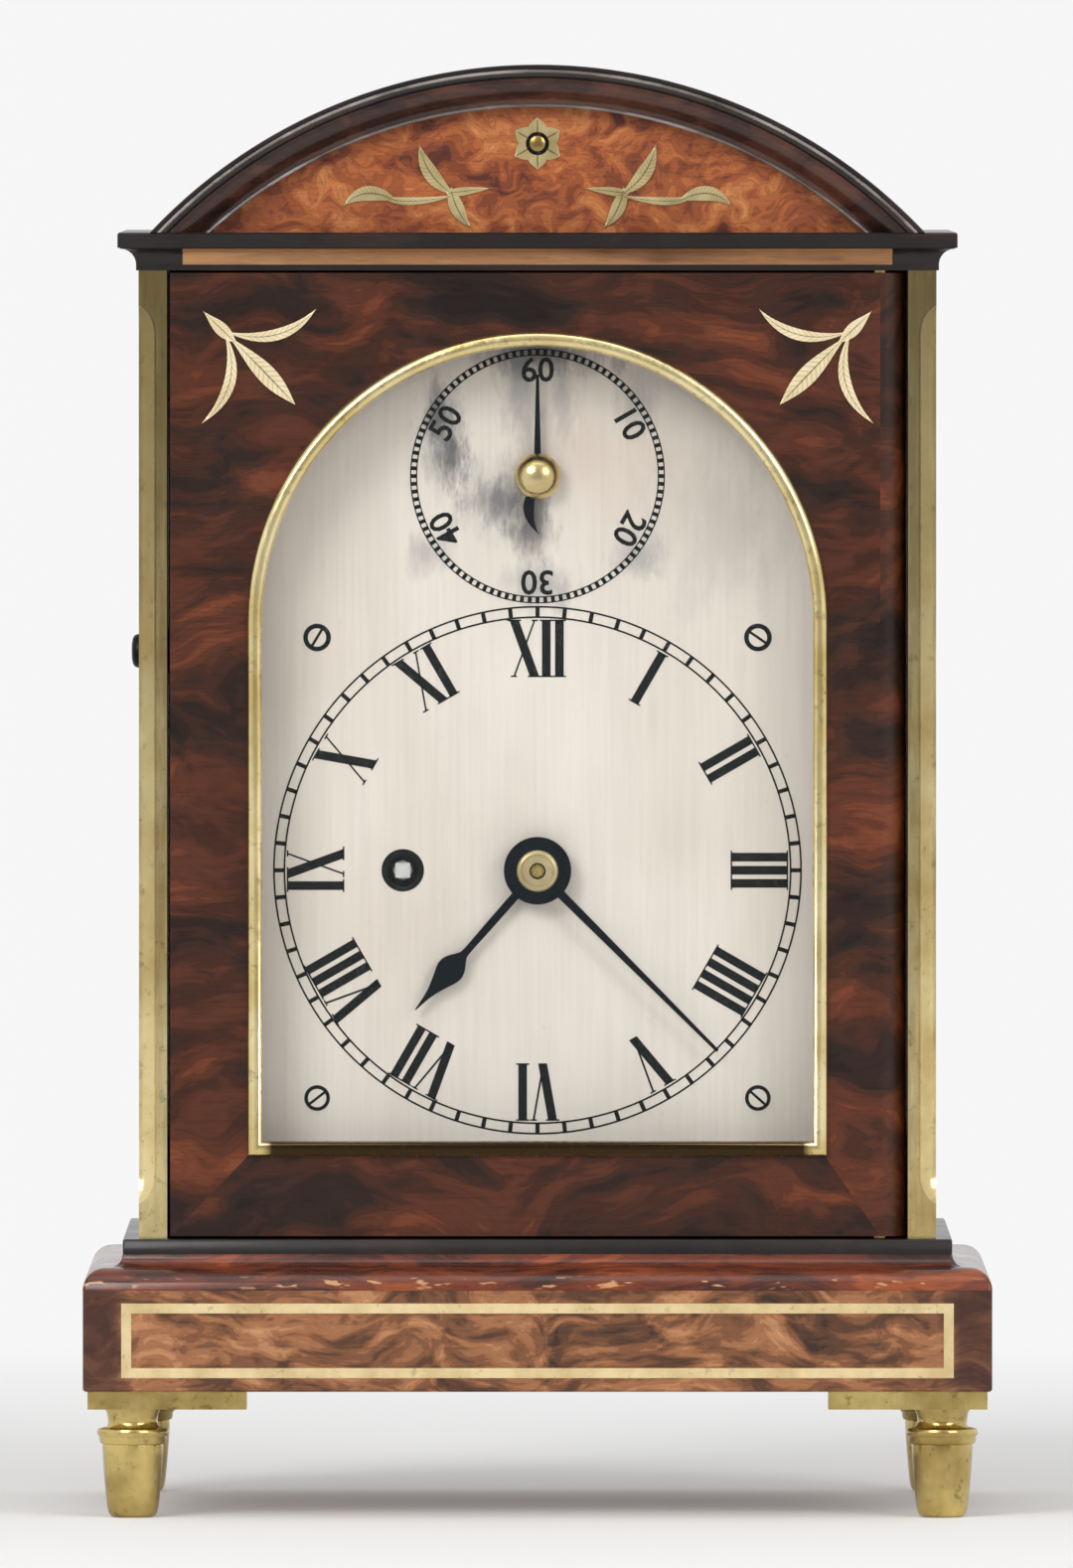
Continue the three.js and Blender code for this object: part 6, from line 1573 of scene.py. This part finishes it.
def borderTree(sizes):
    # slanting cuts along the path, leaning one way and then the other
    tree, given, last = newTree("wheat-ear border", sizes, wax)
    path = addNode(tree, "GeometryNodeMeshToCurve", {"Mesh": given["Geometry"]})
    even = addNode(tree, "GeometryNodeResampleCurve", {"Curve": path.outputs[0], "Length": given["Pitch"]},
                   mode="LENGTH")
    size = addNode(tree, "ShaderNodeCombineXYZ",
                   {"X": given["Length"], "Y": given["Depth"], "Z": given["Width"]})
    cutShape = addNode(tree, "GeometryNodeMeshCube", {"Size": size.outputs[0]})
    tangent = tree.nodes.new("GeometryNodeInputTangent")
    along = addNode(tree, "FunctionNodeAlignRotationToVector", {"Vector": tangent.outputs[0]}, axis="X")
    index = tree.nodes.new("GeometryNodeInputIndex")
    odd = calculated(tree, "MODULO", index.outputs[0], 2.0)
    side = calculated(tree, "SUBTRACT", times(tree, odd, 2.0), 1.0)
    lean = addNode(tree, "ShaderNodeCombineXYZ", {"Y": times(tree, side, given["Slant"])})
    leaning = addNode(tree, "FunctionNodeEulerToRotation", {0: lean.outputs[0]})
    turned = addNode(tree, "FunctionNodeRotateRotation", {
        0: along.outputs[0], 1: leaning.outputs[0]}, rotation_space="LOCAL")
    cuts = addNode(tree, "GeometryNodeInstanceOnPoints", {
        "Points": even.outputs[0], "Instance": cutShape.outputs[0], "Rotation": turned.outputs[0]})
    tree.links.new(cuts.outputs[0], last)
    return tree


def buildBackPlate(size):
    y = size["face"]
    lines = []
    for inset in size["lines"]:
        loops = [insetLoop(size["corners"], inset), insetLoop(size["corners"], inset + size["lineWidth"])]
        lines.append(plate(loops, y - 0.05, y + 0.04))
    finish("back_plate_lines", joined(*lines), "case", wax)
    loop = insetLoop(size["corners"], size["cuts"])
    sizes = {"Length": size["cutLength"] / 1000, "Width": size["cutWidth"] / 1000, "Depth": 0.0001,
             "Pitch": size["pitch"] / 1000, "Slant": radians(size["slant"])}
    holder = [(x, y, z) for x, z in loop]
    made = bakeTree("back_plate_border", borderTree(sizes), sizes,
                    (holder, []), [(i, (i + 1) % len(holder)) for i in range(len(holder))])
    ridden(made, "case")
    places = [(x, size["cockFace"], z) for x, z in size["cockScrews"]]
    made = bakeScrews("cock_screws", turnedBack(screwHead(*size["screwHead"])), places, 2, bluedSteel)
    ridden(made, "case", sharp=30)


def buildMovement():
    buildBackPlate(backPlate)
    buildBob(bob)
    sizes = {"Count": 32, "Radius": bob["nutRadius"] / 1000 - 0.0001, "Height": 0.0022,
             "Depth": bob["y"] / 1000, "Middle": (bob["nutLow"] + bob["nutHigh"]) / 2000}
    ribs = bakeTree("rating_nut_ribs", nutTree(sizes), sizes, ([(0, 0, 0)], []))
    ridden(ribs, "pendulum")
    finish("gut_line_wound", roundLine(gutRoute(gutLine), gutLine["radius"]), "case", gut,
           ["gut_line"], sharp=60)


buildMovement()
print("movement made")

# floor, light and camera

studio = {
    # places and lengths in metres
    "cameraDistance": 6, "cameraHeight": 0.29, "aimHeight": 0.1476, "cameraX": -0.0002, "frameHeight": 0.3156,
    "lampAim": (0, 0, 0.14), "worldLight": 0.52, "background": 0.925, "dimFront": 0.5,
    # each lamp's place, power, width and height
    "lamps": {
        "key light": ((-1.1, -2.0, 1.35), 26, 1.0, 1.0), "fill light": ((1.4, -1.9, 1.1), 15, 1.0, 1.0),
        "top light": ((0, -0.8, 1.9), 5, 1.6, 0.9),
    },
}


def buildFloor():
    corners = [onTop(x, y, 0) for x, y in rectangle(-6000, 6000, -1100, 8000)]
    made = meshObject("floor", corners, [(0, 1, 2, 3)])
    material, tree, shader = newMaterial("studio floor", Specular_IOR_Level=0.1)
    place = objectPlace(tree)
    away = addNode(tree, "ShaderNodeVectorMath", {0: place}, operation="LENGTH").outputs["Value"]
    paper = ramp(tree, noise(tree, place, 3, 2), [(0.3, paint(251, 250, 249)), (0.7, paint(253, 252, 252))])
    dress(tree, shader, paper, 0.8)
    path = addNode(tree, "ShaderNodeLightPath").outputs
    seen = calculated(tree, "MAXIMUM", path["Is Camera Ray"], calculated(
        tree, "MAXIMUM", path["Is Glossy Ray"], path["Is Transmission Ray"]))
    far = ramp(tree, away, [(0.3, 0.16), (0.75, 1.0)])
    share = times(tree, seen, far)
    glow = addNode(tree, "ShaderNodeEmission", {"Color": (1, 1, 1, 1), "Strength": studio["background"]})
    both = addNode(tree, "ShaderNodeMixShader", {0: share, 1: shader.outputs[0], 2: glow.outputs[0]})
    tree.links.new(both.outputs[0], tree.nodes["Material Output"].inputs["Surface"])
    made.data.materials.append(material)


def buildWorld():
    # white to look at; polished pieces also meet a dimmer side of the room in front of the clock
    world = bpy.data.worlds.new("studio")
    bpy.context.scene.world = world
    world.use_nodes = True
    tree = world.node_tree
    background = tree.nodes["Background"]
    path = addNode(tree, "ShaderNodeLightPath").outputs
    facing = addNode(tree, "ShaderNodeSeparateXYZ", {
        0: addNode(tree, "ShaderNodeTexCoord").outputs["Generated"]}).outputs
    beside = ramp(tree, calculated(tree, "ABSOLUTE", facing["X"]), [(0.3, 0.0), (0.7, 1.0)])
    above = ramp(tree, facing["Z"], [(0.3, 0.0), (0.75, 1.0)])
    behind = ramp(tree, calculated(tree, "ADD", facing["Y"], 0.5), [(0.3, 0.0), (0.7, 1.0)])
    lightSide = calculated(tree, "MAXIMUM", beside, calculated(tree, "MAXIMUM", above, behind))
    mirrored = addNode(tree, "ShaderNodeMix",
                       {0: lightSide, 2: studio["dimFront"], 3: studio["background"]}).outputs[0]
    straight = calculated(tree, "MAXIMUM", path["Is Camera Ray"], path["Is Transmission Ray"])
    lit = addNode(tree, "ShaderNodeMix",
                  {0: path["Is Glossy Ray"], 2: studio["worldLight"], 3: mirrored}).outputs[0]
    strength = addNode(tree, "ShaderNodeMix", {0: straight, 2: lit, 3: studio["background"]})
    background.inputs["Color"].default_value = (1, 1, 1, 1)
    tree.links.new(strength.outputs[0], background.inputs["Strength"])


def addLamp(name, place, power, width, height):
    lamp = bpy.data.lights.new(name, "AREA")
    lamp.shape = "RECTANGLE"
    lamp.energy = power
    lamp.size, lamp.size_y = width, height
    made = inScene(name, lamp)
    made.location = place
    made.rotation_euler = (Vector(studio["lampAim"]) - Vector(place)).to_track_quat("-Z", "Y").to_euler()


def buildCamera():
    camera = bpy.data.cameras.new("camera")
    camera.sensor_fit = "VERTICAL"
    camera.lens = camera.sensor_height * studio["cameraDistance"] / studio["frameHeight"]
    camera.clip_start = 0.05
    camera.clip_end = 50
    made = inScene("camera", camera)
    rise = studio["cameraHeight"] - studio["aimHeight"]
    made.location = (studio["cameraX"], case["front"] / 1000 - studio["cameraDistance"],
                     studio["cameraHeight"])
    made.rotation_euler = (radians(90) - atan(rise / studio["cameraDistance"]), 0, 0)
    bpy.context.scene.camera = made


buildFloor()
buildWorld()
for lampName, lampLook in studio["lamps"].items():
    addLamp(lampName, *lampLook)
buildCamera()
bpy.context.scene.view_settings.view_transform = "Standard"
